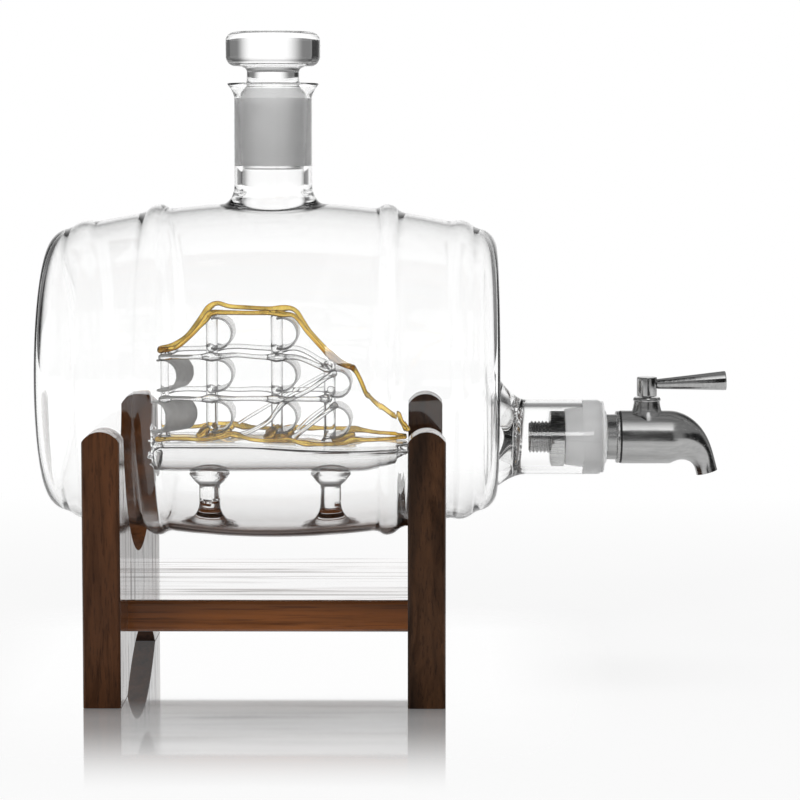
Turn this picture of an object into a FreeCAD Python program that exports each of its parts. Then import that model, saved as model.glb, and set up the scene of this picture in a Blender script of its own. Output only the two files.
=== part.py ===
import FreeCAD
import Part
import math
import os

# A glass barrel decanter with a glass ship inside it, a ground stopper, a small spout tap and a wooden stand.
# Lengths are in millimetres and angles in degrees. The barrel lies along X, the tap is at +X, +Z is up.

# Barrel
barrel_length = 149.6
belly_radius = 56.2
head_radius = 45.7
barrel_wall = 1.8
head_wall = 2.6
head_corner = 7.0
inner_hoop_share = 0.518
inner_hoop_rise = 2.0
outer_hoop_inset = 11.2
outer_hoop_rise = 1.3
hoop_half_width = 5.5

# Filler neck and its ground joint
neck_radius = 13.0
neck_rim_radius = 15.3
neck_rim_height = 95.9
neck_flare_height = 5.0
neck_root_fillet = 4.0
neck_seam_margin = 1.0
joint_top_radius = 11.4
joint_bottom_radius = 10.4
joint_length = 24.0
joint_gap = 0.15

# Stopper
stopper_head_radius = 15.8
stopper_head_height = 11.6
stopper_head_lift = 5.5
stopper_head_round = 3.4
stopper_shank_radius = 8.7
stopper_shank_fillet = 1.6

# Outlet tube for the tap
outlet_radius = 12.5
outlet_wall = 2.3
outlet_drop = 22.8
outlet_length = 35.2
outlet_root_length = 10.0
outlet_root_spread = 6.4
outlet_root_lift = 2.1
outlet_root_power = 1.8
outlet_root_sections = 6

# Bung, lock nut and inlet stem of the tap
bung_depth = 12.4
bung_seat_length = 5.8
bung_waist_radius = 9.4
bung_cap_radius = 8.7
bung_cap_height = 1.7
stem_radius = 5.4
stem_bore_radius = 2.2
stem_end_length = 7.2
stem_shoulder_radius = 7.6
stem_shoulder_length = 3.3
stem_ring_radius = 8.75
stem_ring_length = 1.2
stem_spigot_radius = 4.5
stem_spigot_length = 4.0
nut_sides = 6
nut_across_flats = 17.2
nut_height = 4.9
gasket_height = 0.5
fit_gap = 0.05

# Tap body, spout and valve
tap_body_radius = 8.9
tap_body_length = 16.0
valve_offset = 8.7
spout_bend_radius = 12.9
spout_turn = 75.0
spout_lip_length = 2.4
spout_tip_radius = 3.6
spout_wall = 1.3
spout_sections = 6
boss_height = 12.2
boss_top_radius = 4.3
boss_root_radius = 7.2
plug_radius = 3.5
plug_low = 5.2
plug_high = 7.8
plug_bore_radius = 2.2
valve_stem_radius = 1.6
ring_thickness = 1.0
ring_offset = 3.9
ring_groove_gap = 0.03
bonnet_radius = 4.65
bonnet_height = 1.3

# Lever
hub_radius = 3.4
hub_height = 6.5
hub_lift = 0.3
lever_length = 23.2
lever_root_radius = 1.7
lever_tip_radius = 3.3
lever_rise = 3.0
lever_height = 3.9
lever_pin_radius = 1.1
lever_pin_depth = 1.6
lever_edge = 0.4

# Ship hull and the posts that hold it up
deck_drop = 22.9
hull_depth = 11.9
hull_beam = 34.0
hull_stern = 41.5
hull_bow = 48.4
bow_beam = 4.0
bow_depth = 3.0
bow_taper_start = 0.78
bow_sections = 4
post_middle_x = -1.4
post_spread = 20.4
post_radius = 3.55
post_flare_radius = 7.0
post_foot_radius = 11.2
post_foot_height = 9.0
post_foot_waist = 4.0

# Masts and sails
mast_radius = 2.0
stern_mast_radius = 1.4
stern_mast_x = -36.7
main_mast_x = -20.8
fore_mast_x = 1.0
bow_mast_x = 18.7
stern_mast_height = 29.0
main_mast_height = 41.6
fore_mast_height = 41.6
bow_mast_height = 26.0
sail_width = 16.0
sail_height = 10.4
sail_bulge = 7.6
sail_thickness = 1.0
sail_pitch = 14.0
sail_lift = 2.3
bow_sail_height = 8.0
bow_sail_drop = 1.6
stern_low_yaw = 35.0
stern_high_yaw = 15.0

# Rigging rods
yard_radius = 0.98
shroud_radius = 0.7
gold_radius = 0.95
rod_bend_share = 0.4
rig_half_width = 7.5
stay_rise = 0.9
stay_fall = 2.3
rail_inset = 1.4
rail_lift = 0.5
forestay_steps = 4
forestay_sag = 0.65

# Stand
upright_thickness = 12.0
stand_depth = 124.0
horn_height = 87.6
horn_crown = 3.6
cradle_radius = 50.25
cradle_floor = 40.6
cradle_gap = 0.3
foot_depth = 18.5
arch_height = 15.5
stand_edge = 1.2
shelf_depth = 80.6
shelf_thickness = 10.4
shelf_height = 20.0
dowel_radius = 3.0
dowel_in_upright = 8.0
dowel_in_shelf = 14.0
dowel_spread = 24.0

X_AXIS = FreeCAD.Vector(1, 0, 0)
Y_AXIS = FreeCAD.Vector(0, 1, 0)
Z_AXIS = FreeCAD.Vector(0, 0, 1)
FULL_TURN = 360.0

# The hoops keep their places along the barrel, and each upright stands midway between two hoops
inner_hoop_offset = inner_hoop_share * barrel_length / 2
outer_hoop_offset = barrel_length / 2 - outer_hoop_inset
upright_gap = inner_hoop_offset + outer_hoop_offset - upright_thickness


def point(x, y, z):
    return FreeCAD.Vector(x, y, z)


def line(start, end):
    return Part.makeLine(start, end)


def arc(start, middle, end):
    return Part.Arc(start, middle, end).toShape()


def revolved(edges, center, axis):
    """A solid of revolution from a closed run of edges."""
    return Part.Face(Part.Wire(edges)).revolve(center, axis, FULL_TURN)


def turned(profile, center, axis, out):
    """A turned solid from (place along the axis, radius) corners, closed back along the axis."""
    corners = [center + axis * place + out * radius for place, radius in profile]
    first = center + axis * profile[0][0]
    last = center + axis * profile[-1][0]
    face = Part.Face(Part.makePolygon([first] + corners + [last, first]))
    return face.revolve(center, axis, FULL_TURN)


def bent_rod(points, radius):
    """A round rod through the given points, with each corner eased by a tangent arc."""
    edges = []
    start = points[0]
    for before, corner, after in zip(points, points[1:], points[2:]):
        back = before - corner
        ahead = after - corner
        run = rod_bend_share * min(back.Length, ahead.Length)
        back.normalize()
        ahead.normalize()
        half_angle = back.getAngle(ahead) / 2
        bisector = back + ahead
        bisector.normalize()
        entry = corner + back * run
        leave = corner + ahead * run
        reach = run / math.cos(half_angle) - run * math.tan(half_angle)
        edges.append(line(start, entry))
        edges.append(arc(entry, corner + bisector * reach, leave))
        start = leave
    edges.append(line(start, points[-1]))
    section = Part.Wire(Part.makeCircle(radius, points[0], points[1] - points[0]))
    return Part.Wire(edges).makePipeShell([section], True, False)


def largest_solid(shape):
    return max(shape.Solids, key=lambda solid: solid.Volume)


def belly_curve_radius():
    """Radius of the arc that the barrel's plain side follows from head to head."""
    rise = belly_radius - head_radius
    return ((barrel_length / 2) ** 2 + rise ** 2) / (2 * rise)


def belly(x):
    """Radius of the plain barrel curve at x, one circular arc from head to head."""
    curve_radius = belly_curve_radius()
    return belly_radius - curve_radius + math.sqrt(curve_radius ** 2 - x ** 2)


def hoop(distance, rise):
    """Height of a hoop at a distance from its crest: a round crest with a hollow of the same radius each side."""
    away = abs(distance)
    if away >= hoop_half_width:
        return 0.0
    bend = (hoop_half_width ** 2 + rise ** 2) / (4 * rise)
    if away > hoop_half_width / 2:
        return bend - math.sqrt(bend ** 2 - (hoop_half_width - away) ** 2)
    return rise - bend + math.sqrt(bend ** 2 - away ** 2)


def barrel_radius(x):
    """Outer radius of the barrel at x, with its raised hoops."""
    inner = hoop(abs(x) - inner_hoop_offset, inner_hoop_rise)
    outer = hoop(abs(x) - outer_hoop_offset, outer_hoop_rise)
    return belly(x) + inner + outer


def seat_height():
    """Height of the barrel axis at which it rests on the highest part of the two cradles."""
    heights = []
    half = upright_thickness / 2
    for share in (0.0, 0.25, 0.5, 0.75, 1.0):
        across = (2 * share - 1) * half
        tip = horn_height - horn_crown * (across / half) ** 2
        cradle_center = cradle_floor + cradle_radius
        tip_half_width = math.sqrt(cradle_radius ** 2 - (cradle_center - tip) ** 2)
        reach = barrel_radius(upright_gap / 2 + share * upright_thickness) + cradle_gap
        heights.append(tip + math.sqrt(reach ** 2 - tip_half_width ** 2))
    return max(heights)


axis_height = seat_height()
barrel_center = point(0, 0, axis_height)
barrel_end = barrel_length / 2
outlet_bore_radius = outlet_radius - outlet_wall
outlet_mouth = barrel_end + outlet_length
outlet_center = point(0, 0, axis_height - outlet_drop)
bung_face = outlet_mouth + bung_cap_height
ring_end = bung_face + stem_shoulder_length + stem_ring_length
tap_body_start = ring_end + gasket_height
valve_x = tap_body_start + valve_offset
valve_center = outlet_center + X_AXIS * valve_x
chamber_radius = plug_radius + fit_gap
seal_radius = chamber_radius - ring_groove_gap
hub_floor = boss_height + bonnet_height + hub_lift
lever_tip_x = valve_x + hub_radius + lever_length * math.cos(math.radians(lever_rise))
neck_rim = axis_height + neck_rim_height
joint_top = neck_rim - neck_flare_height
joint_floor = joint_top - joint_length
deck = axis_height - deck_drop
keel = deck - hull_depth


def barrel_outline(stops, radius_at, end, corner):
    """Edges of a barrel's half outline through the stops, closed by round corners, flat heads and the axis."""
    slope = math.asin((end - corner) / belly_curve_radius())
    reach = end - corner + corner * math.sin(slope)
    corner_rise = radius_at(reach) - corner * math.cos(slope)
    half_way = (slope + math.pi / 2) / 2

    def at(x, radius):
        return point(x, 0, axis_height + radius)

    def corner_edge(side):
        middle_x = end - corner + corner * math.sin(half_way)
        middle = at(side * middle_x, corner_rise + corner * math.cos(half_way))
        return arc(at(side * reach, radius_at(reach)), middle, at(side * end, corner_rise))

    places = [-reach] + stops + [reach]
    edges = [line(at(-end, 0), at(-end, corner_rise)), corner_edge(-1)]
    for begin, finish in zip(places, places[1:]):
        middle = (begin + finish) / 2
        edges.append(arc(at(begin, radius_at(begin)), at(middle, radius_at(middle)), at(finish, radius_at(finish))))
    edges += [corner_edge(1), line(at(end, corner_rise), at(end, 0)), line(at(end, 0), at(-end, 0))]
    return edges


def barrel_blank():
    """Outside of the barrel with its four hoops, each a round crest between two hollows."""
    stops = []
    for offset in (-outer_hoop_offset, -inner_hoop_offset, inner_hoop_offset, outer_hoop_offset):
        for share in (-1, -0.5, 0.5, 1):
            stops.append(offset + share * hoop_half_width)
    return revolved(barrel_outline(stops, barrel_radius, barrel_end, head_corner), barrel_center, X_AXIS)


def barrel_cavity():
    """Smooth inside of the barrel."""
    def inside(x):
        return belly(x) - barrel_wall

    edges = barrel_outline([0], inside, barrel_end - head_wall, head_corner - barrel_wall)
    return revolved(edges, barrel_center, X_AXIS)


def neck_blank():
    """Outside of the filler neck, from inside the barrel up to its flared rim."""
    flare_foot = point(neck_radius, 0, joint_top)
    rim_edge = point(neck_rim_radius, 0, neck_rim)
    flare_mid = point(neck_radius + (neck_rim_radius - neck_radius) / 4, 0, joint_top + neck_flare_height / 2)
    edges = [
        line(barrel_center, barrel_center + X_AXIS * neck_radius),
        line(barrel_center + X_AXIS * neck_radius, flare_foot),
        arc(flare_foot, flare_mid, rim_edge),
        line(rim_edge, point(0, 0, neck_rim)),
        line(point(0, 0, neck_rim), barrel_center),
    ]
    return revolved(edges, barrel_center, Z_AXIS)


def neck_bore():
    """Tapered ground joint, with a wider mouth above it and a plain bore below it."""
    mouth_radius = joint_top_radius + (neck_rim_radius - neck_radius)
    profile = [
        (-neck_radius, joint_bottom_radius),
        (joint_floor - axis_height, joint_bottom_radius),
        (joint_top - axis_height, joint_top_radius),
        (neck_rim_height, mouth_radius),
    ]
    return turned(profile, barrel_center, Z_AXIS, X_AXIS)


def outlet_blank():
    """Outside of the outlet tube, drawn out of the barrel head in a flare that reaches higher above it than below."""
    wires = []
    for step in range(outlet_root_sections):
        share = step / (outlet_root_sections - 1)
        rest = (1 - share) ** outlet_root_power
        center = outlet_center + X_AXIS * (barrel_end + share * outlet_root_length) + Z_AXIS * rest * outlet_root_lift
        wires.append(Part.Wire(Part.makeCircle(outlet_radius + rest * outlet_root_spread, center, X_AXIS)))
    flare = Part.makeLoft(wires, True)
    tube = Part.makeCylinder(
        outlet_radius, outlet_length - outlet_root_length,
        outlet_center + X_AXIS * (barrel_end + outlet_root_length), X_AXIS)
    base = Part.makeCylinder(
        outlet_radius + outlet_root_spread, head_wall,
        outlet_center + X_AXIS * (barrel_end - head_wall) + Z_AXIS * outlet_root_lift, X_AXIS)
    return base.fuse(flare).fuse(tube)


def neck_root_edges(shape):
    """The edge where the neck meets the belly, found by its height and its reach round the neck."""
    return [
        edge for edge in shape.Edges
        if abs(edge.BoundBox.XLength - 2 * neck_radius) < fit_gap
        and edge.BoundBox.ZMin > axis_height + belly_radius / 2
        and edge.BoundBox.ZMax < axis_height + belly_radius + fit_gap
    ]


cavity = barrel_cavity()


def blown_glass():
    """The whole glass body: the hooped barrel with its neck and its outlet tube, hollow throughout."""
    blank = barrel_blank().fuse(neck_blank())
    blank = blank.makeFillet(neck_root_fillet, neck_root_edges(blank))
    blank = blank.fuse(outlet_blank())
    bore = Part.makeCylinder(
        outlet_bore_radius, outlet_length + 2 * head_wall,
        outlet_center + X_AXIS * (barrel_end - 2 * head_wall), X_AXIS)
    return largest_solid(blank.cut(cavity).cut(neck_bore()).cut(bore))


def glass_pieces():
    """The glass body parted at the rings where its wall, heads, neck and outlet tube are fused together."""
    glass = blown_glass()
    head_depth = 2 * head_corner + outlet_length
    reach = 2 * neck_rim_height
    seam = barrel_end - head_corner
    neck_seam = Part.makeCylinder(
        neck_radius + neck_root_fillet + neck_seam_margin, reach, barrel_center, Z_AXIS)
    outlet_seam = Part.makeCylinder(
        outlet_radius + outlet_root_spread, head_depth,
        outlet_center + X_AXIS * seam + Z_AXIS * outlet_root_lift, X_AXIS)
    tap_end = Part.makeCylinder(reach, head_depth, barrel_center + X_AXIS * seam, X_AXIS)
    far_end = Part.makeCylinder(reach, head_depth, barrel_center - X_AXIS * seam, -X_AXIS)
    wall = glass.cut(tap_end).cut(far_end)
    return {
        "barrel_shell": largest_solid(wall.cut(neck_seam)),
        "filler_neck": largest_solid(wall.common(neck_seam)),
        "far_head": largest_solid(glass.common(far_end)),
        "tap_head": largest_solid(glass.common(tap_end).cut(outlet_seam)),
        "outlet_tube": largest_solid(glass.common(outlet_seam)),
    }


def stopper():
    """Solid stopper: round-edged head, narrow shank and a tapered plug that fits the ground joint."""
    low = joint_floor + 2 * joint_gap
    taper = (joint_top_radius - joint_bottom_radius) / joint_length
    low_radius = joint_bottom_radius + taper * (low - joint_floor) - joint_gap
    high_radius = joint_top_radius - joint_gap
    head_floor = neck_rim + stopper_head_lift
    profile = [
        (low, low_radius),
        (joint_top, high_radius),
        (neck_rim, stopper_shank_radius),
        (head_floor, stopper_shank_radius),
        (head_floor, stopper_head_radius),
        (head_floor + stopper_head_height, stopper_head_radius),
    ]
    solid = turned(profile, point(0, 0, 0), Z_AXIS, X_AXIS)

    def rims(height, radius):
        return [
            edge for edge in solid.Edges
            if abs(edge.BoundBox.ZMin - height) < fit_gap
            and edge.BoundBox.ZLength < fit_gap
            and abs(edge.BoundBox.XLength - 2 * radius) < fit_gap
        ]

    head_rims = rims(head_floor, stopper_head_radius)
    head_rims += rims(head_floor + stopper_head_height, stopper_head_radius)
    root = rims(head_floor, stopper_shank_radius)
    solid = solid.makeFillet(stopper_head_round, head_rims)
    return solid.makeFillet(stopper_shank_fillet, root_edges(solid, root))


def root_edges(solid, wanted):
    """The edges of a changed solid that still lie where the wanted edges were."""
    return [
        edge for edge in solid.Edges
        for old in wanted
        if (edge.BoundBox.Center - old.BoundBox.Center).Length < fit_gap
        and abs(edge.Length - old.Length) < fit_gap
    ]


def outlet_bung():
    """Soft stepped bung: a narrow inner end, a full seat in the tube's mouth and a cap outside it."""
    seat = outlet_bore_radius - fit_gap
    profile = [
        (outlet_mouth - bung_depth, bung_waist_radius),
        (outlet_mouth - bung_seat_length, seat),
        (outlet_mouth, seat),
        (outlet_mouth, bung_cap_radius),
        (bung_face, bung_cap_radius),
    ]
    bore = Part.makeCylinder(stem_radius + fit_gap, bung_face, outlet_center, X_AXIS)
    return turned(profile, outlet_center, X_AXIS, Z_AXIS).cut(bore)


def lock_nut():
    corner = nut_across_flats / 2 / math.cos(math.pi / nut_sides)
    start = outlet_center + X_AXIS * (outlet_mouth - bung_depth - nut_height)
    ring = []
    for side in range(nut_sides + 1):
        angle = math.radians((side + 0.5) * FULL_TURN / nut_sides)
        ring.append(start + Y_AXIS * corner * math.sin(angle) + Z_AXIS * corner * math.cos(angle))
    prism = Part.Face(Part.makePolygon(ring)).extrude(X_AXIS * nut_height)
    bore = Part.makeCylinder(stem_radius + fit_gap, nut_height, start, X_AXIS)
    return prism.cut(bore)


def inlet_stem():
    """Hollow threaded stem with a shoulder and a ring that bears on the gasket."""
    free_end = outlet_mouth - bung_depth - nut_height - stem_end_length
    shoulder_end = bung_face + stem_shoulder_length
    spigot_end = tap_body_start + stem_spigot_length
    profile = [
        (free_end, stem_radius),
        (bung_face, stem_radius),
        (bung_face, stem_shoulder_radius),
        (shoulder_end, stem_shoulder_radius),
        (shoulder_end, stem_ring_radius),
        (ring_end, stem_ring_radius),
        (ring_end, stem_spigot_radius),
        (spigot_end, stem_spigot_radius),
    ]
    bore = Part.makeCylinder(stem_bore_radius, spigot_end, outlet_center, X_AXIS)
    return turned(profile, outlet_center, X_AXIS, Z_AXIS).cut(bore)


def body_gasket():
    start = outlet_center + X_AXIS * ring_end
    disc = Part.makeCylinder(stem_ring_radius, gasket_height, start, X_AXIS)
    hole = Part.makeCylinder(stem_spigot_radius + fit_gap, gasket_height, start, X_AXIS)
    return disc.cut(hole)


def spout(inset):
    """The bent, narrowing spout as one loft, set in from its outside by a wall."""
    start = outlet_center + X_AXIS * (tap_body_start + tap_body_length)
    bend_center = start - Z_AXIS * spout_bend_radius
    wires = []
    for step in range(spout_sections):
        share = step / (spout_sections - 1)
        turn = math.radians(spout_turn) * share
        out = X_AXIS * math.sin(turn) + Z_AXIS * math.cos(turn)
        ahead = X_AXIS * math.cos(turn) - Z_AXIS * math.sin(turn)
        narrowing = (tap_body_radius - spout_tip_radius) * (1 + 2 * share) * (1 - share) ** 2
        radius = spout_tip_radius + narrowing - inset * (1 + narrowing / spout_tip_radius)
        wires.append(Part.Wire(Part.makeCircle(radius, bend_center + out * spout_bend_radius, ahead)))
    lip = bend_center + out * spout_bend_radius + ahead * spout_lip_length
    wires.append(Part.Wire(Part.makeCircle(radius, lip, ahead)))
    return Part.makeLoft(wires, True)


def valve_boss():
    """The turret on the body that holds the valve, spreading into the body at its root."""
    middle_radius = boss_top_radius + (boss_root_radius - boss_top_radius) / 4
    root = math.sqrt(tap_body_radius ** 2 - boss_root_radius ** 2)
    middle = (boss_height + root) / 2

    def at(height, radius):
        return valve_center + Z_AXIS * height + X_AXIS * radius

    edges = [
        line(at(0, 0), at(0, boss_root_radius)),
        line(at(0, boss_root_radius), at(root, boss_root_radius)),
        arc(at(root, boss_root_radius), at(middle, middle_radius), at(boss_height, boss_top_radius)),
        line(at(boss_height, boss_top_radius), at(boss_height, 0)),
        line(at(boss_height, 0), at(0, 0)),
    ]
    return revolved(edges, valve_center, Z_AXIS)


def tap_body():
    """Cast body with the spout, the valve chamber, the flow bore and the stem's socket."""
    start = outlet_center + X_AXIS * tap_body_start
    body = Part.makeCylinder(tap_body_radius, tap_body_length, start, X_AXIS)
    body = body.fuse(spout(0)).fuse(valve_boss())
    socket = Part.makeCylinder(stem_spigot_radius + fit_gap, stem_spigot_length, start, X_AXIS)
    flow = Part.makeCylinder(stem_bore_radius, tap_body_length, start, X_AXIS)
    floor = valve_center - Z_AXIS * (plug_low + fit_gap)
    chamber = Part.makeCylinder(chamber_radius, plug_low + fit_gap + boss_height, floor, Z_AXIS)
    return largest_solid(body.cut(spout(spout_wall)).cut(socket).cut(flow).cut(chamber))


def bonnet():
    """Cap that closes the valve chamber, with a skirt inside it and a hole for the valve stem."""
    skirt_floor = plug_high + hub_lift
    profile = [
        (skirt_floor, plug_radius),
        (boss_height, plug_radius),
        (boss_height, bonnet_radius),
        (boss_height + bonnet_height, bonnet_radius),
    ]
    hole = Part.makeCylinder(
        valve_stem_radius + fit_gap, boss_height + bonnet_height, valve_center, Z_AXIS)
    return turned(profile, valve_center, Z_AXIS, X_AXIS).cut(hole)


def ring_places():
    return [valve_center + Z_AXIS * side * ring_offset for side in (-1, 1)]


def valve_plug():
    """Turning plug with a cross bore, two ring grooves and the stem that the lever hub sits on."""
    profile = [
        (-plug_low, plug_radius),
        (plug_high, plug_radius),
        (plug_high, valve_stem_radius),
        (hub_floor + hub_height / 2, valve_stem_radius),
    ]
    plug = turned(profile, valve_center, Z_AXIS, X_AXIS)
    cross = Part.makeCylinder(
        plug_bore_radius, 4 * plug_radius, valve_center - Y_AXIS * 2 * plug_radius, Y_AXIS)
    plug = plug.cut(cross)
    groove_floor = seal_radius - ring_thickness - ring_groove_gap
    groove_height = ring_thickness + 2 * ring_groove_gap
    for place in ring_places():
        base = place - Z_AXIS * groove_height / 2
        outer = Part.makeCylinder(2 * plug_radius, groove_height, base, Z_AXIS)
        plug = plug.cut(outer.cut(Part.makeCylinder(groove_floor, groove_height, base, Z_AXIS)))
    return plug


def plug_seals():
    """Square-section seal rings that lie in the plug's grooves."""
    rings = []
    for place in ring_places():
        base = place - Z_AXIS * ring_thickness / 2
        disc = Part.makeCylinder(seal_radius, ring_thickness, base, Z_AXIS)
        rings.append(disc.cut(Part.makeCylinder(seal_radius - ring_thickness, ring_thickness, base, Z_AXIS)))
    return Part.makeCompound(rings)


def lever_direction():
    return X_AXIS * math.cos(math.radians(lever_rise)) + Z_AXIS * math.sin(math.radians(lever_rise))


def lever_root():
    return valve_center + Z_AXIS * (hub_floor + lever_height) + lever_direction() * hub_radius


def lever_hub():
    floor = valve_center + Z_AXIS * hub_floor
    hub = Part.makeCylinder(hub_radius, hub_height, floor, Z_AXIS)
    hub = hub.makeFillet(lever_edge, [edge for edge in hub.Edges if edge.BoundBox.ZLength < fit_gap])
    socket = Part.makeCylinder(valve_stem_radius + fit_gap, hub_height / 2 + fit_gap, floor, Z_AXIS)
    pin = Part.makeCylinder(
        lever_pin_radius + fit_gap, hub_radius, lever_root() - lever_direction() * lever_pin_depth,
        lever_direction())
    return hub.cut(socket).cut(pin)


def lever_handle():
    """Slim handle that widens to its end, with a pin that goes into the hub."""
    root = lever_root()
    profile = [
        (-lever_pin_depth, lever_pin_radius),
        (fit_gap, lever_pin_radius),
        (fit_gap, lever_root_radius),
        (lever_length, lever_tip_radius),
    ]
    out = lever_direction().cross(Y_AXIS)
    handle = turned(profile, root, lever_direction(), out)
    tip = [
        edge for edge in handle.Edges
        if (edge.BoundBox.Center - root).Length > lever_length - lever_edge
    ]
    return handle.makeFillet(lever_edge, tip).cut(lever_hub())


def bow_taper(x):
    """How far the hull has drawn in at x, from none along its sides to one at the bow."""
    share = (x + hull_stern) / (hull_stern + hull_bow)
    return max(0.0, (share - bow_taper_start) / (1 - bow_taper_start)) ** 2


def hull_half_beam(x):
    return (hull_beam - (hull_beam - bow_beam) * bow_taper(x)) / 2


def hull_section(share):
    """One cross section of the hull: a flat deck over a round bottom, drawn in and lifted at the bow."""
    x = -hull_stern + share * (hull_stern + hull_bow)
    half_beam = hull_half_beam(x)
    bottom = keel + (hull_depth - bow_depth) * bow_taper(x)
    left = point(x, -half_beam, deck)
    right = point(x, half_beam, deck)
    return Part.Wire([arc(left, point(x, 0, bottom), right), line(right, left)])


def ship_hull():
    """The hull: a straight trough of even section, with a bow that draws in and lifts."""
    trough = Part.makeLoft([hull_section(0), hull_section(bow_taper_start)], True, True)
    shares = [bow_taper_start + (1 - bow_taper_start) * step / bow_sections for step in range(bow_sections + 1)]
    bow = Part.makeLoft([hull_section(share) for share in shares], True)
    return largest_solid(trough.fuse(bow).removeSplitter())


hull = ship_hull()


def ship_post(x):
    """A round post from the barrel's floor to the hull, spreading at both ends."""
    foot = axis_height - belly_radius
    top = deck - hull_depth / 2
    neck_top = keel - post_flare_radius / 2
    neck_low = foot + post_foot_height

    def at(radius, z):
        return point(x + radius, 0, z)

    middle = (post_radius + post_foot_radius) / 2
    edges = [
        line(at(0, foot), at(post_foot_radius, foot)),
        line(at(post_foot_radius, foot), at(post_foot_radius, foot + barrel_wall)),
        arc(at(post_foot_radius, foot + barrel_wall),
            at((middle + post_radius) / 2, foot + post_foot_waist),
            at(post_radius, neck_low)),
        line(at(post_radius, neck_low), at(post_radius, neck_top)),
        line(at(post_radius, neck_top), at(post_flare_radius, keel)),
        line(at(post_flare_radius, keel), at(post_flare_radius, top)),
        line(at(post_flare_radius, top), at(0, top)),
        line(at(0, top), at(0, foot)),
    ]
    post = revolved(edges, point(x, 0, 0), Z_AXIS)
    return largest_solid(post.common(cavity).cut(hull))


def ship_posts():
    return Part.makeCompound([ship_post(post_middle_x + side * post_spread) for side in (-1, 1)])


def mast(x, height, radius):
    return Part.makeCylinder(radius, height, point(x, 0, deck), Z_AXIS)


def sail_floor(level):
    return deck + sail_lift + level * sail_pitch


def sail(x, floor, height, yaw, mast_solid):
    """A half-round sail of even thickness that bellies forward from its mast."""
    wide = sail_width / 2
    middle = floor + height / 2
    edges = [
        arc(point(x, -wide, floor), point(x + sail_bulge, -wide, middle), point(x, -wide, floor + height)),
        line(point(x, -wide, floor + height), point(x, -wide, floor + height - sail_thickness)),
        arc(point(x, -wide, floor + height - sail_thickness),
            point(x + sail_bulge - sail_thickness, -wide, middle),
            point(x, -wide, floor + sail_thickness)),
        line(point(x, -wide, floor + sail_thickness), point(x, -wide, floor)),
    ]
    solid = Part.Face(Part.Wire(edges)).extrude(Y_AXIS * sail_width)
    solid.rotate(point(x, 0, floor), Z_AXIS, yaw)
    return largest_solid(solid.cut(mast_solid))


def sails(x, drop, heights, yaws, mast_solid):
    """The sails of one mast from the lowest up, each turned by its own yaw."""
    row = []
    for level, (height, yaw) in enumerate(zip(heights, yaws)):
        row.append(sail(x, sail_floor(level) - drop, height, yaw, mast_solid))
    return Part.makeCompound(row)


stern_mast = mast(stern_mast_x, stern_mast_height, stern_mast_radius)
main_mast = mast(main_mast_x, main_mast_height, mast_radius)
fore_mast = mast(fore_mast_x, fore_mast_height, mast_radius)
bow_mast = mast(bow_mast_x, bow_mast_height, mast_radius)
stern_sails = sails(stern_mast_x, 0, [sail_height] * 2, [-stern_low_yaw, -stern_high_yaw], stern_mast)
main_sails = sails(main_mast_x, 0, [sail_height] * 3, [0] * 3, main_mast)
fore_sails = sails(fore_mast_x, 0, [sail_height] * 3, [0] * 3, fore_mast)
bow_sails = sails(bow_mast_x, bow_sail_drop, [sail_height, bow_sail_height], [0] * 2, bow_mast)
bow_sail_head = sail_floor(1) - bow_sail_drop + bow_sail_height
rig = [hull, stern_mast, main_mast, fore_mast, bow_mast, stern_sails, main_sails, fore_sails, bow_sails]


def fused_on(rod, carriers):
    """A rod cut back where it is fused on to what carries it, so the two share a face."""
    for carrier in carriers:
        rod = rod.cut(carrier)
    return largest_solid(rod)


def yard_rods():
    """Long rods that tie the sails together: one on the heads of a row in front, one under the feet behind."""
    rods = []
    for level in (1, 2):
        head = sail_floor(level - 1) + sail_height + yard_radius
        foot = sail_floor(level) - yard_radius
        for side, height in ((-1, head), (1, foot)):
            y = side * rig_half_width
            in_air = side > 0 and level > 1
            stops = [point(stern_mast_x, 0 if in_air else y, height)]
            if in_air:
                stops.append(point(main_mast_x, y, height))
            if level > 1:
                stops.append(point(fore_mast_x + sail_bulge, y, height))
            end_height = min(height, bow_sail_head + yard_radius)
            stops.append(point(bow_mast_x, y, end_height))
            rods.append(fused_on(bent_rod(stops, yard_radius), rig))
    return Part.makeCompound(rods)


yards = yard_rods()


def shroud_rods():
    """Slanting stays on both sides, from the deck up to the sails of the bow mast."""
    rods = []
    for side in (-1, 1):
        y = side * (rig_half_width + shroud_radius + yard_radius)
        for foot_x, top_x, top in (
            (main_mast_x + sail_bulge, bow_mast_x, bow_sail_head),
            (fore_mast_x + sail_bulge, bow_mast_x + sail_bulge / 2, sail_floor(0) + sail_height),
        ):
            rod = bent_rod([point(foot_x, y, deck), point(top_x, y, top)], shroud_radius)
            rods.append(fused_on(rod, rig + [yards]))
    return Part.makeCompound(rods)


shrouds = shroud_rods()


def gold_rails():
    """Gilded rails along both edges of the deck, drawn together at the bow."""
    rails = []
    height = deck + gold_radius
    places = (stern_mast_x, main_mast_x, fore_mast_x, bow_mast_x + sail_bulge, hull_bow - bow_beam)
    for side in (-1, 1):
        route = []
        for order, x in enumerate(places):
            y = side * (hull_half_beam(x) - rail_inset)
            route.append(point(x, y, height + rail_lift * (order % 2)))
        rails.append(fused_on(bent_rod(route, gold_radius), rig + [shrouds]))
    return Part.makeCompound(rails)


rails = gold_rails()


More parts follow.
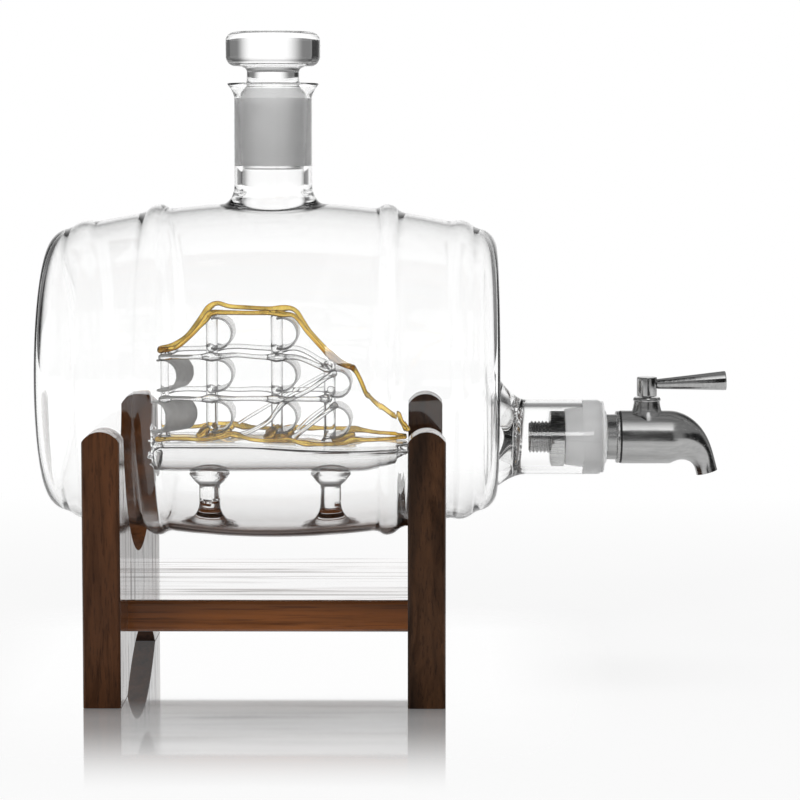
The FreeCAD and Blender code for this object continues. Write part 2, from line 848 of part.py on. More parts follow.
def gold_stays():
    """Gilded stays from the stern mast over the two tall masts and the bow mast, one on each side."""
    stays = []
    top = sail_floor(2) + sail_height + gold_radius + stay_rise
    bow_head = deck + bow_mast_height + gold_radius
    for side in (-1, 1):
        y = side * rig_half_width
        route = [
            point(stern_mast_x, side * gold_radius, deck + stern_mast_height + gold_radius),
            point(main_mast_x, y, top),
            point(fore_mast_x + sail_bulge / 2, y, top),
            point(bow_mast_x, side * gold_radius, bow_head),
            point(bow_mast_x + sail_bulge, side * gold_radius, bow_head - stay_fall),
        ]
        stays.append(fused_on(bent_rod(route, gold_radius), rig + [yards, shrouds]))
    stays[1] = largest_solid(stays[1].cut(stays[0]))
    return Part.makeCompound(stays)


stays = gold_stays()


def gold_forestay():
    """Gilded stay from the end of the stays down to the bow."""
    head = deck + bow_mast_height + gold_radius - stay_fall
    foot = deck + 2 * gold_radius
    start = bow_mast_x + sail_bulge
    end = hull_bow - bow_beam
    route = []
    for step in range(forestay_steps + 1):
        share = step / forestay_steps
        drop = share + forestay_sag * share * (1 - share)
        route.append(point(start + (end - start) * share, 0, head + (foot - head) * drop))
    return fused_on(bent_rod(route, gold_radius), rig + [yards, shrouds, rails, stays])


def upright(side):
    """One end of the stand: a plate with a round cradle, crowned horns and an arched foot."""
    half_depth = stand_depth / 2
    inner = side * upright_gap / 2
    outer = inner + side * upright_thickness
    cradle_center = cradle_floor + cradle_radius
    tip_low = horn_height - horn_crown
    tip_width = math.sqrt(cradle_radius ** 2 - (cradle_center - horn_height) ** 2)
    arch_width = half_depth - foot_depth

    def at(y, z):
        return point(inner, y, z)

    edges = [
        line(at(-half_depth, 0), at(-arch_width, 0)),
        arc(at(-arch_width, 0), at(0, arch_height), at(arch_width, 0)),
        line(at(arch_width, 0), at(half_depth, 0)),
        line(at(half_depth, 0), at(half_depth, horn_height)),
        line(at(half_depth, horn_height), at(tip_width, horn_height)),
        arc(at(tip_width, horn_height), at(0, cradle_floor), at(-tip_width, horn_height)),
        line(at(-tip_width, horn_height), at(-half_depth, horn_height)),
        line(at(-half_depth, horn_height), at(-half_depth, 0)),
    ]
    plate = Part.Face(Part.Wire(edges)).extrude(X_AXIS * (outer - inner))
    middle = (inner + outer) / 2
    crown = [
        line(point(inner, -half_depth, 0), point(inner, -half_depth, tip_low)),
        arc(point(inner, -half_depth, tip_low),
            point(middle, -half_depth, horn_height),
            point(outer, -half_depth, tip_low)),
        line(point(outer, -half_depth, tip_low), point(outer, -half_depth, 0)),
        line(point(outer, -half_depth, 0), point(inner, -half_depth, 0)),
    ]
    envelope = Part.Face(Part.Wire(crown)).extrude(Y_AXIS * stand_depth)
    plate = plate.common(envelope)
    standing = [
        edge for edge in plate.Edges
        if edge.BoundBox.XLength < fit_gap
        and edge.BoundBox.YLength < fit_gap
        and edge.BoundBox.ZLength > horn_height / 2
    ]
    plate = plate.makeFillet(stand_edge, standing)
    for hole in dowels(fit_gap):
        plate = plate.cut(hole)
    return largest_solid(plate)


def shelf():
    start = point(-upright_gap / 2, -shelf_depth / 2, shelf_height)
    board = Part.makeBox(upright_gap, shelf_depth, shelf_thickness, start)
    board = board.makeFillet(stand_edge, [edge for edge in board.Edges if edge.BoundBox.XLength > fit_gap])
    for hole in dowels(fit_gap):
        board = board.cut(hole)
    return board


def dowels(gap):
    """Blind dowels between the shelf's ends and the uprights, or their holes with a gap all round."""
    pins = []
    length = dowel_in_upright + dowel_in_shelf + 2 * gap
    for side in (-1, 1):
        start_x = side * (upright_gap / 2 - dowel_in_shelf - gap)
        for place in (-1, 1):
            start = point(start_x, place * dowel_spread, shelf_height + shelf_thickness / 2)
            pins.append(Part.makeCylinder(dowel_radius + gap, length, start, X_AXIS * side))
    return pins


nodes = {
    "left_upright": upright(-1),
    "right_upright": upright(1),
    "shelf": shelf(),
    "shelf_dowels": Part.makeCompound(dowels(0)),
    "stopper": stopper(),
    "outlet_bung": outlet_bung(),
    "lock_nut": lock_nut(),
    "inlet_stem": inlet_stem(),
    "body_gasket": body_gasket(),
    "tap_body": tap_body(),
    "bonnet": bonnet(),
    "valve_plug": valve_plug(),
    "plug_seals": plug_seals(),
    "lever_hub": lever_hub(),
    "lever_handle": lever_handle(),
    "ship_hull": hull,
    "ship_posts": ship_posts(),
    "stern_mast": stern_mast,
    "main_mast": main_mast,
    "fore_mast": fore_mast,
    "bow_mast": bow_mast,
    "stern_sails": stern_sails,
    "main_sails": main_sails,
    "fore_sails": fore_sails,
    "bow_sails": bow_sails,
    "yard_rods": yards,
    "shroud_rods": shrouds,
    "gold_rails": rails,
    "gold_stays": stays,
    "gold_forestay": gold_forestay(),
}
nodes.update(glass_pieces())

# The origin is under the middle of the whole object, between the far barrel head and the lever's tip.
middle_x = (lever_tip_x - barrel_end) / 2
os.makedirs("parts", exist_ok=True)
for name, shape in nodes.items():
    shape.translate(point(-middle_x, 0, 0))
    shape.exportStep("parts/" + name + ".step")
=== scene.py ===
import bmesh
import bpy
import math
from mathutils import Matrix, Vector, noise


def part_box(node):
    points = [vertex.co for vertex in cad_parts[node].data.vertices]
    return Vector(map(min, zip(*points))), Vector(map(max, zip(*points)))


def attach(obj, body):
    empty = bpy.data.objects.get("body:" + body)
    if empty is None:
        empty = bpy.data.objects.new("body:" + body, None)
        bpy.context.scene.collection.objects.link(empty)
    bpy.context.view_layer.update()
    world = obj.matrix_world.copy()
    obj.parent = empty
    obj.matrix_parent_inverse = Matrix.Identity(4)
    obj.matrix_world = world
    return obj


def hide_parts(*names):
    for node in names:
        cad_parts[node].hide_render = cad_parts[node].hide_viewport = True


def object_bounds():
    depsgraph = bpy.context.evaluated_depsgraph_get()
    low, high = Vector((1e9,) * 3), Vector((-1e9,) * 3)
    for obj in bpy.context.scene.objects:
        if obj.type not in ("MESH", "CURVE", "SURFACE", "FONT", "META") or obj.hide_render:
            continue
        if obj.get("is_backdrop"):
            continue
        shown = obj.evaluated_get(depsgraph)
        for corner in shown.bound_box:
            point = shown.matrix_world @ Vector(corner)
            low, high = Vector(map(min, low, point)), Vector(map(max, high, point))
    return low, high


# A glass barrel decanter with a glass ship inside it, its stopper, tap and wooden stand.
# Lengths are in millimetres in the CAD's frame and become metres when a mesh is made.

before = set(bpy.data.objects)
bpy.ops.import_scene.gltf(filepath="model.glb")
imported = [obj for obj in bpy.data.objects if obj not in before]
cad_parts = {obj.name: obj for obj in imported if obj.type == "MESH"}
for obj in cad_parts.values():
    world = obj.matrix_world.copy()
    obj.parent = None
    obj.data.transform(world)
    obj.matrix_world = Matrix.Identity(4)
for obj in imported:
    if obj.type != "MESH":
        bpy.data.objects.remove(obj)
size_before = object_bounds()
MM = 0.001
TINY = 1e-6
FULL_TURN = 2 * math.pi
X_AXIS = Vector((1, 0, 0))
Y_AXIS = Vector((0, 1, 0))
Z_AXIS = Vector((0, 0, 1))


def span(node):
    """Low and high corner of a CAD node's box in mm."""
    low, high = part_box(node)
    return low / MM, high / MM


def middle(node):
    """Centre of a CAD node's box in mm."""
    low, high = span(node)
    return (low + high) / 2


# Places taken from the frame
barrel_x = middle("filler_neck").x
axis_z = middle("far_head").z
barrel_end = span("tap_head")[1].x - barrel_x
rim_z = span("filler_neck")[1].z
mouth_x = span("outlet_tube")[1].x
outlet_z = middle("outlet_bung").z
deck_z = span("ship_hull")[1].z
valve_x = middle("lever_hub").x

# Barrel
belly_radius = 56.2
head_radius = 45.7
belly_rise = belly_radius - head_radius
belly_curve = (barrel_end ** 2 + belly_rise ** 2) / (2 * belly_rise)
barrel_wall = 1.5
head_wall = 1.7
head_corner = 7.0
hoop_half_width = 5.5
# Each pair of hoops: distance from the middle of the barrel, rise
hoops = ((38.75, 2.0), (63.6, 1.3))
# Share of the wall by which a hoop's arcs differ inside and outside
wall_parallel = 0.3
pool_depth = 0.3
pool_half_length = 70.0
pool_waves = (0.22, 0.1)

# Neck and its ground joint
neck_radius = 13.0
neck_foot_radius = 16.9
neck_foot_height = 6.4
neck_foot_gap = 0.6
rim_radius = 15.3
rim_edge = 0.7
rim_round = 0.25
flare_height = 5.0
flare_power = 1.7
inner_flare_power = 1.5
inner_rim_drop = 0.5
bore_radius = 10.4
bore_root = 4.0
bore_root_top = 3.4
joint_top_radius = 11.4
joint_length = 24.0
joint_top = rim_z - flare_height
joint_floor = joint_top - joint_length
inner_rim = joint_top_radius + rim_radius - neck_radius
ground_start = 1.4
level_step = 1.6

# Outlet tube; a flare is its spread, lift, length and power
outlet_radius = 12.5
outlet_bore = 10.2
outlet_lip = outlet_radius - outlet_bore
outlet_straight = 24.6
bore_straight = 4.4
outlet_flare = (6.4, 2.1, 10.0, 1.8)
bore_flare = (3.4, 0.8, 6.5, 2.0)
tube_step = 2.0

# Ship's posts
post_middle = -1.4
post_spread = 20.4
post_radius = 3.5
post_foot_radius = 11.2
post_foot_height = 8.0
post_flare_radius = 6.8
post_flare_height = 3.9
post_flare_power = 1.6
post_foot_gap = 0.9
post_head = 0.7
post_swell = 0.3
post_gap = 0.12

# Ship hull, measured from the middle of the barrel
hull_stern = -41.5
hull_bow = 48.4
hull_half_beam = 17.0
hull_depth = 11.9
bow_half_beam = 2.0
bow_depth = 3.0
bow_taper_start = 0.78
dip_start = -12.0
dip_length = 34.0
deck_dip = 1.3
hull_wall = 0.7
deck_wall = 0.35
hull_setback = 2.2
hull_gap = 0.12
deck_gap = 0.05
deck_edge = 0.7
deck_wave = 0.1
keel_wave = 0.2
gunwale = 0.8
hull_end_rise = 3.0

# Mesh density, and the half length and half cells of the wall's grid that a tube replaces
AROUND = 192
COLUMN_STEP = 1.3
HOOP_STEP = 0.4
NECK_WINDOW = (26, 14)
POST_WINDOW = (15.5, 8)


class Maker:
    """Collects rings of points and the faces between them, with a material number for each face."""

    def __init__(self):
        self.points = []
        self.faces = []
        self.finish = []

    def ring(self, points):
        first = len(self.points)
        self.points.extend(Vector(point) for point in points)
        return list(range(first, len(self.points)))

    def face(self, corners, finish=0):
        self.faces.append(corners)
        self.finish.append(finish)

    def bridge(self, one, two, finish=0):
        count = len(one)
        for i in range(count):
            j = (i + 1) % count
            self.face([one[i], one[j], two[j], two[i]], finish)

    def bridges(self, rings):
        for one, two in zip(rings, rings[1:]):
            self.bridge(one, two)

    def carry(self, ring, loops, finish=0):
        """Bridges a ring on through loops of points and returns the last ring."""
        for points in loops:
            following = self.ring(points)
            self.bridge(ring, following, finish)
            ring = following
        return ring

    def close(self, rings):
        """Joins rings into a form with a hole through it."""
        self.bridges(rings)
        self.bridge(rings[-1], rings[0])

    def cap(self, loop, center, finish=0):
        tip = self.ring([center])[0]
        for i in range(len(loop)):
            self.face([loop[i], loop[(i + 1) % len(loop)], tip], finish)

    def build(self, name, slot, materials, nodes=(), body="decanter"):
        mesh = bpy.data.meshes.new(name)
        mesh.from_pydata([point * MM for point in self.points], [], self.faces)
        for polygon, finish in zip(mesh.polygons, self.finish):
            polygon.material_index = finish
            polygon.use_smooth = True
        work = bmesh.new()
        work.from_mesh(mesh)
        bmesh.ops.recalc_face_normals(work, faces=work.faces)
        work.to_mesh(mesh)
        work.free()
        for material in materials:
            mesh.materials.append(material)
        piece = bpy.data.objects.new(name, mesh)
        bpy.context.collection.objects.link(piece)
        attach(piece, body)
        if nodes:
            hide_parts(*nodes)
        return piece


def shares(count):
    """Even shares from 0 to 1."""
    return [step / count for step in range(count + 1)]


def spread(start, end, step):
    """Even places from start to end, about one step apart, both ends included."""
    count = max(1, round(abs(end - start) / step))
    return [start + (end - start) * share for share in shares(count)]


def clamp(value):
    return min(1.0, max(0.0, value))


def upright(x, center_z, radius, count=AROUND):
    """Points of a circle round an axis along x; the radius is one length, or a list of one for each point."""
    radii = radius if isinstance(radius, list) else [radius] * count
    points = []
    for i, size in enumerate(radii):
        turn = FULL_TURN * i / len(radii)
        points.append(Vector((x, size * math.sin(turn), center_z + size * math.cos(turn))))
    return points


# Node helpers for materials

GLASS_INDEX = 1.49
GLASS_COLOR = (0.993, 0.994, 0.993, 1.0)


def grey(level):
    return level, level, level, 1.0


class Nodes:
    """A node tree with a few short ways to add and join its nodes."""

    def __init__(self, tree):
        self.tree = tree

    def node(self, kind, inputs=None, **settings):
        made = self.tree.nodes.new(kind)
        for key, value in settings.items():
            setattr(made, key, value)
        for key, value in (inputs or {}).items():
            if isinstance(value, bpy.types.NodeSocket):
                self.tree.links.new(value, made.inputs[key])
            else:
                made.inputs[key].default_value = value
        return made

    def ray(self, kind):
        return self.node("ShaderNodeLightPath").outputs[f"Is {kind} Ray"]


class Shader(Nodes):
    """A material and its nodes."""

    def __init__(self, name):
        self.material = bpy.data.materials.new(name)
        self.material.use_nodes = True
        super().__init__(self.material.node_tree)
        self.tree.nodes.clear()
        self.output = self.tree.nodes.new("ShaderNodeOutputMaterial")

    def surface(self, socket):
        self.tree.links.new(socket, self.output.inputs["Surface"])
        return self.material

    def place(self):
        return self.node("ShaderNodeTexCoord").outputs["Object"]

    def parts(self, vector):
        return self.node("ShaderNodeSeparateXYZ", {"Vector": vector}).outputs

    def facing(self):
        """How far the eye meets the surface at a slant, from 0 to 1."""
        return self.node("ShaderNodeLayerWeight", {"Blend": 0.5}).outputs["Facing"]

    def stretched(self, scale, turn=(0, 0, 0), start=(0, 0, 0)):
        return self.node("ShaderNodeMapping", {
            "Vector": self.place(), "Scale": scale, "Rotation": turn, "Location": start}).outputs["Vector"]

    def noise(self, scale, detail, roughness, vector=None, distortion=0.0):
        return self.node("ShaderNodeTexNoise", {
            "Scale": scale, "Detail": detail, "Roughness": roughness, "Distortion": distortion,
            "Vector": vector or self.place()}).outputs["Fac"]

    def ramp(self, factor, stops):
        """Colours along a factor; a stop's colour is three parts or one grey level."""
        made = self.node("ShaderNodeValToRGB", {"Fac": factor})
        band = made.color_ramp
        while len(band.elements) < len(stops):
            band.elements.new(0.5)
        for element, (position, color) in zip(band.elements, stops):
            element.position = position
            element.color = (*color, 1.0) if isinstance(color, tuple) else grey(color)
        return made.outputs["Color"]

    def bump(self, height, strength, distance):
        return self.node("ShaderNodeBump", {
            "Height": height, "Strength": strength, "Distance": distance}).outputs["Normal"]

    def math(self, operation, one, two=0.0):
        return self.node("ShaderNodeMath", {0: one, 1: two}, operation=operation).outputs[0]

    def times(self, one, two):
        return self.math("MULTIPLY", one, two)

    def mapped(self, value, low, high, to_low, to_high, way="LINEAR"):
        return self.node("ShaderNodeMapRange", {
            "Value": value, "From Min": low, "From Max": high, "To Min": to_low, "To Max": to_high},
            interpolation_type=way).outputs[0]

    def mix(self, factor, one, two):
        return self.node("ShaderNodeMixShader", {"Fac": factor, 1: one, 2: two}).outputs[0]

    def principled(self, **inputs):
        names = {key.replace("_", " "): value for key, value in inputs.items()}
        return self.node("ShaderNodeBsdfPrincipled", names).outputs[0]

    def emission(self, strength):
        return self.node("ShaderNodeEmission", {"Color": grey(1.0), "Strength": strength}).outputs[0]

    def glass(self, passing, **inputs):
        """The surface of glass that lets a share of the light pass through to what is inside."""
        body = self.principled(IOR=GLASS_INDEX, **inputs)
        through = self.node("ShaderNodeBsdfTransparent", {"Color": grey(passing)}).outputs[0]
        return self.surface(self.mix(self.ray("Shadow"), body, through))


# Glass materials

def clear_glass():
    """Clear glass of the body, the stopper and the stern's knots."""
    return Shader("clear_glass").glass(0.98, Base_Color=GLASS_COLOR, Roughness=0.0, Transmission_Weight=1.0)


def edge_shaded_glass(name, shade_greys, top=None):
    """Clear glass with painted shade: its colour is darker where the eye meets it at a slant, all over or
    below a height, standing in for the dark edges of rods and of the hull's keel.
    """
    shader = Shader(name)
    slant = shader.facing()
    if top is not None:
        height = shader.parts(shader.place())["Z"]
        slant = shader.times(slant, shader.mapped(height, (top - 1.0) * MM, top * MM, 1.0, 0.0))
    # Painted shade: the slant mask darkens the base colour towards the edges
    return shader.glass(0.95, Base_Color=shader.ramp(slant, shade_greys), Roughness=0.0, Transmission_Weight=1.0)


def ground_glass():
    """Ground faces of the stopper's joint: fine-grained and grey."""
    shader = Shader("ground_glass")
    grain = shader.noise(2600.0, 3.0, 0.7)
    tone = shader.ramp(shader.noise(90.0, 3.0, 0.5), [(0.3, 0.83), (0.7, 0.90)])
    return shader.glass(
        0.7, Base_Color=tone, Roughness=0.5, Transmission_Weight=0.82,
        Normal=shader.bump(grain, 0.35, 0.00004))


def frosted_glass(name, dark, light, clearness, rough):
    """Sandblasted sails: grey and fine-grained, brighter where light passes through."""
    shader = Shader(name)
    grain = shader.noise(1500.0, 4.0, 0.7)
    tone = shader.ramp(shader.noise(160.0, 4.0, 0.6), [(0.25, dark), (0.75, light)])
    return shader.glass(
        0.55, Base_Color=tone, Roughness=rough, Transmission_Weight=clearness,
        Normal=shader.bump(grain, 0.5, 0.00005))


def gold_lustre():
    """Fired gold on glass rods: amber glass where it is thin, metal with brown hollows where it is thick; the
    amber carries painted shade, browner towards the rods' slanting edges.
    """
    shader = Shader("gold_lustre")
    cloud = shader.noise(95.0, 3.0, 0.5, distortion=0.4)
    tone = shader.ramp(cloud, [
        (0.32, (0.16, 0.06, 0.008)), (0.43, (0.62, 0.34, 0.05)), (0.55, (0.92, 0.60, 0.12)),
        (0.75, (1.0, 0.78, 0.30))])
    streak = shader.noise(420.0, 3.0, 0.6)
    metal = shader.principled(
        Base_Color=tone, Metallic=1.0, Roughness=shader.mapped(streak, 0.3, 0.7, 0.10, 0.24), Coat_Weight=0.5,
        Coat_Roughness=0.05, Normal=shader.bump(streak, 0.12, 0.0002))
    # Painted shade: the amber's colour turns dark brown where the eye meets the rod at a slant
    depth = shader.ramp(shader.facing(), [
        (0.05, (0.99, 0.74, 0.20)), (0.22, (0.96, 0.60, 0.11)), (0.42, (0.72, 0.38, 0.04)),
        (0.70, (0.34, 0.15, 0.01))])
    amber = shader.principled(
        Base_Color=depth, Roughness=0.03, IOR=GLASS_INDEX, Transmission_Weight=1.0,
        Normal=shader.bump(streak, 0.1, 0.0002))
    return shader.surface(shader.mix(shader.mapped(cloud, 0.36, 0.60, 0.45, 0.06), amber, metal))


# Glass body shape

def belly(x):
    """Radius of the plain barrel at x from its middle, one arc from head to head."""
    return belly_radius - belly_curve + math.sqrt(belly_curve ** 2 - x ** 2)


def hoop(distance, rise, inset):
    """Height of a hoop: a round crest with a hollow on each side, nearly parallel inside the wall."""
    away = abs(distance)
    if away >= hoop_half_width:
        return 0.0
    bend = (hoop_half_width ** 2 + rise ** 2) / (4 * rise)
    share = hoop_half_width / 2 / bend
    crest = bend - inset * wall_parallel
    hollow = bend + inset * wall_parallel
    if away > crest * share:
        return hollow - math.sqrt(hollow ** 2 - (hoop_half_width - away) ** 2)
    return rise - crest + math.sqrt(crest ** 2 - away ** 2)


def barrel_radius(x, inset):
    rise = sum(hoop(abs(x) - offset, height, inset) for offset, height in hoops)
    return belly(x) + rise - inset


def pooled(x, turn):
    """How far the inside is filled at the bottom, where the glass ran together, with slow waves along it."""
    down = max(0.0, -math.cos(turn)) ** 8
    ends = max(0.0, 1 - (x / pool_half_length) ** 4)
    uneven, even = pool_waves
    wave = 1 + uneven * noise.noise(Vector((x * 0.045, 3.1, 0.7))) + even * math.sin(x * 0.13)
    return pool_depth * down * ends * wave


def wall_radius(x, inset, turn):
    return barrel_radius(x, inset) - (pooled(x, turn) if inset else 0.0)


class Sprout:
    """A tube that rises from a barrel sheet: its place along the barrel, radius, flared root and window."""

    def __init__(self, x, side, radius, foot, height, window):
        self.x = x
        self.side = side
        self.radius = radius
        self.foot = foot
        self.height = height
        half_length, self.half_cells = window
        self.low = x - half_length
        self.high = x + half_length
        self.center = 0 if side > 0 else AROUND // 2


def barrel_sheet(maker, inset, end, sprouts):
    """One face of the barrel wall with round corners at its heads; returns the head and sprout rings."""
    corner = head_corner - inset
    slope = math.asin((end - corner) / belly_curve)
    reach = end - corner + corner * math.sin(slope)
    marks = {-reach, reach}
    for sprout in sprouts:
        marks.update((sprout.low, sprout.high))
    for offset, rise in hoops:
        for edge in (offset - hoop_half_width, offset + hoop_half_width):
            marks.update((-edge, edge))
    marks = sorted(marks)
    columns = marks[:1]
    for one, two in zip(marks, marks[1:]):
        away = abs(one + two) / 2
        on_hoop = any(abs(away - offset) < hoop_half_width for offset, rise in hoops)
        columns += spread(one, two, HOOP_STEP if on_hoop else COLUMN_STEP)[1:]
    rings = []
    for x in columns:
        radii = [wall_radius(x, inset, FULL_TURN * j / AROUND) for j in range(AROUND)]
        rings.append(maker.ring(upright(barrel_x + x, axis_z, radii)))
    holes = set()
    for sprout in sprouts:
        cells = [(sprout.center + j) % AROUND for j in range(-sprout.half_cells, sprout.half_cells)]
        for i, x in enumerate(columns[:-1]):
            if sprout.low - TINY <= x < sprout.high - TINY:
                holes.update((i, j) for j in cells)
    for i, (one, two) in enumerate(zip(rings, rings[1:])):
        for j in range(AROUND):
            if (i, j) not in holes:
                k = (j + 1) % AROUND
                maker.face([one[j], one[k], two[k], two[j]])
    mouths = [sprout_root(maker, sprout, columns, rings, inset) for sprout in sprouts]
    center_rise = barrel_radius(reach, inset) - corner * math.cos(slope)
    heads = []
    for side, start in ((-1, rings[0]), (1, rings[-1])):
        loops = []
        for share in shares(8)[1:]:
            angle = slope + (math.pi / 2 - slope) * share
            x = side * (end - corner + corner * math.sin(angle))
            loops.append(upright(barrel_x + x, axis_z, center_rise + corner * math.cos(angle)))
        heads.append((maker.carry(start, loops), barrel_x + side * end, center_rise))
    return heads, mouths


def sprout_root(maker, sprout, columns, rings, inset):
    """Fills the hole under a sprout from the wall's grid up to the top ring of its flared root."""
    inside = [i for i, x in enumerate(columns) if sprout.low - TINY <= x <= sprout.high + TINY]
    first, last = inside[0], inside[-1]
    up = [(sprout.center + j) % AROUND for j in range(-sprout.half_cells, sprout.half_cells + 1)]
    loop = [rings[i][up[-1]] for i in range(first, last)]
    loop += [rings[last][j] for j in reversed(up[1:])]
    loop += [rings[i][up[0]] for i in range(last, first, -1)]
    loop += [rings[first][j] for j in up[:-1]]
    center = Vector((barrel_x + sprout.x, 0, 0))
    spokes = [maker.points[index] - center for index in loop]
    angles = [math.atan2(spoke.y, spoke.x) for spoke in spokes]
    reaches = [math.hypot(spoke.y, spoke.x) for spoke in spokes]

    def on_wall(angle, distance, lift=0.0):
        x = sprout.x + distance * math.cos(angle)
        y = distance * math.sin(angle)
        turn = math.asin(y / barrel_radius(x, inset))
        radius = wall_radius(x, inset, turn if sprout.side > 0 else math.pi - turn)
        return barrel_x + x, y, axis_z + sprout.side * math.sqrt(radius * radius - y * y) + lift

    loops = []
    for share in shares(5)[1:-1]:
        loops.append([
            on_wall(angle, reach + (sprout.foot - reach) * share) for angle, reach in zip(angles, reaches)])
    for share in shares(12):
        bend = math.pi / 2 * share
        distance = sprout.foot - (sprout.foot - sprout.radius) * math.sin(bend)
        lift = sprout.height * (1 - math.cos(bend))
        loops.append([on_wall(angle, distance, lift) for angle in angles])
    return maker.carry(loop, loops), angles


def tube_rings(maker, start, angles, center_x, profile, finish=0):
    """Carries a sprout's top ring on through (height, radius) places as level rings."""
    loops = []
    for height, radius in profile:
        loops.append([
            (center_x + radius * math.cos(angle), radius * math.sin(angle), height) for angle in angles])
    return maker.carry(start, loops, finish)


def head_disc(maker, ring, x, radius):
    """Closes the far head with rings that shrink to its centre."""
    loops = [upright(x, axis_z, radius * share) for share in (0.85, 0.65, 0.45, 0.25, 0.1)]
    maker.cap(maker.carry(ring, loops), (x, 0, axis_z))


def outlet_root(maker, ring, x, tube, flare):
    """The tap head from its edge to the outlet: a flat face drawn out in a flare that reaches above it."""
    widening, lift, length, power = flare

    def circle(share):
        rest = (1 - share) ** power
        return upright(x + length * share, outlet_z + lift * rest, tube + widening * rest)

    edge = [maker.points[index].copy() for index in ring]
    foot = circle(0.0)
    loops = []
    for share in (0.2, 0.4, 0.6, 0.8, 0.93):
        loops.append([one.lerp(two, share) for one, two in zip(edge, foot)])
    loops += [circle(share ** 1.4) for share in shares(14)]
    return maker.carry(ring, loops)


def outlet_rings(maker, start, profile):
    """Carries the outlet tube on through (x, radius) places."""
    return maker.carry(start, [upright(x, outlet_z, radius) for x, radius in profile])


def round_lip(place, inner, outer):
    """A half-round lip as (place, radius) steps from the outer wall over to the inner wall."""
    half = (outer - inner) / 2
    path = []
    for share in shares(6):
        angle = math.pi * share
        path.append((place - half + half * math.sin(angle), inner + half + half * math.cos(angle)))
    return path


def bow_taper(x):
    """How far the hull has drawn in at x, from none along its sides to one at the bow."""
    share = (x - hull_stern) / (hull_bow - hull_stern)
    return clamp((share - bow_taper_start) / (1 - bow_taper_start)) ** 2


def half_beam(x):
    return hull_half_beam - (hull_half_beam - bow_half_beam) * bow_taper(x)


def keel_z(x, y):
    """Height of the underside of the hull, a round bottom under the deck."""
    half = half_beam(x)
    sag = hull_depth - (hull_depth - bow_depth) * bow_taper(x)
    curve = (half * half + sag * sag) / (2 * sag)
    return deck_z - sag + curve - math.sqrt(curve * curve - min(y * y, half * half))


def deck_at(x):
    """Height of the deck at x from the barrel's middle: it dips a little towards the bow."""
    share = clamp((x - dip_start) / dip_length)
    return deck_z - deck_dip * share * share * (3 - 2 * share)


def outer_glass(maker):
    """Outside of barrel, outlet and neck; returns the ring at the outlet's mouth and the ring at the rim."""
    neck = Sprout(0, 1, neck_radius, neck_foot_radius, neck_foot_height, NECK_WINDOW)
    (far, tap_side), ((ring, angles),) = barrel_sheet(maker, 0.0, barrel_end, [neck])
    head_disc(maker, *far)
    tube = outlet_root(maker, *tap_side[:2], outlet_radius, outlet_flare)
    places = spread(mouth_x - outlet_straight, mouth_x - outlet_lip / 2, tube_step)
    tube = outlet_rings(maker, tube, [(x, outlet_radius) for x in places])
    mouth = outlet_rings(maker, tube, round_lip(mouth_x, outlet_bore, outlet_radius)[1:])
    levels = spread(axis_z + belly_radius + neck_foot_height + neck_foot_gap, joint_top, level_step)
    profile = [(height, neck_radius) for height in levels]
    for share in shares(8)[1:]:
        radius = neck_radius + (rim_radius - rim_round - neck_radius) * share ** flare_power
        profile.append((joint_top + (flare_height - rim_edge) * share, radius))
    profile += [(rim_z - 0.3, rim_radius), (rim_z - 0.08, rim_radius - 0.2), (rim_z, rim_radius - 0.6)]
    profile += [(rim_z, inner_rim + 0.5), (rim_z - 0.15, inner_rim + 0.1)]
    return mouth, tube_rings(maker, ring, angles, barrel_x, profile)


def inner_glass(maker, outer_mouth, outer_rim):
    """Inside of barrel, outlet and neck up to the outside's rings, and the ship's posts that stand in it."""
    bore = Sprout(0, 1, bore_radius, bore_radius + bore_root, bore_root, NECK_WINDOW)
    posts = []
    for side in (-1, 1):
        x = post_middle + side * post_spread
        posts.append(Sprout(x, -1, post_radius, post_foot_radius, post_foot_height, POST_WINDOW))
    (far, tap_side), mouths = barrel_sheet(maker, barrel_wall, barrel_end - head_wall, [bore] + posts)
    head_disc(maker, *far)
    tube = outlet_root(maker, *tap_side[:2], outlet_bore, bore_flare)
    places = spread(barrel_x + barrel_end + bore_straight, mouth_x - outlet_lip, tube_step)
    maker.bridge(outlet_rings(maker, tube, [(x, outlet_bore) for x in places]), outer_mouth)
    ring, angles = mouths[0]
    levels = spread(axis_z + belly_radius + bore_root_top, joint_floor, level_step)
    ring = tube_rings(maker, ring, angles, barrel_x, [(height, bore_radius) for height in levels])
    slope = (joint_top_radius - bore_radius) / joint_length
    ground_floor = joint_floor + ground_start
    for start, end, finish in ((joint_floor + 0.01, ground_floor, 0), (ground_floor, joint_top, 1)):
        ring = tube_rings(maker, ring, angles, barrel_x, [
            (height, bore_radius + slope * (height - joint_floor))
            for height in spread(start, end, tube_step)[1:]], finish)
    profile = []
    for share in (0.15, 0.35, 0.6, 0.85, 1.0):
        radius = joint_top_radius + (inner_rim - joint_top_radius) * share ** inner_flare_power
        profile.append((joint_top + (flare_height - inner_rim_drop) * share, radius))
    maker.bridge(tube_rings(maker, ring, angles, barrel_x, profile), outer_rim)
    for sprout, (ring, angles) in zip(posts, mouths[1:]):
        glass_post(maker, sprout, ring, angles)


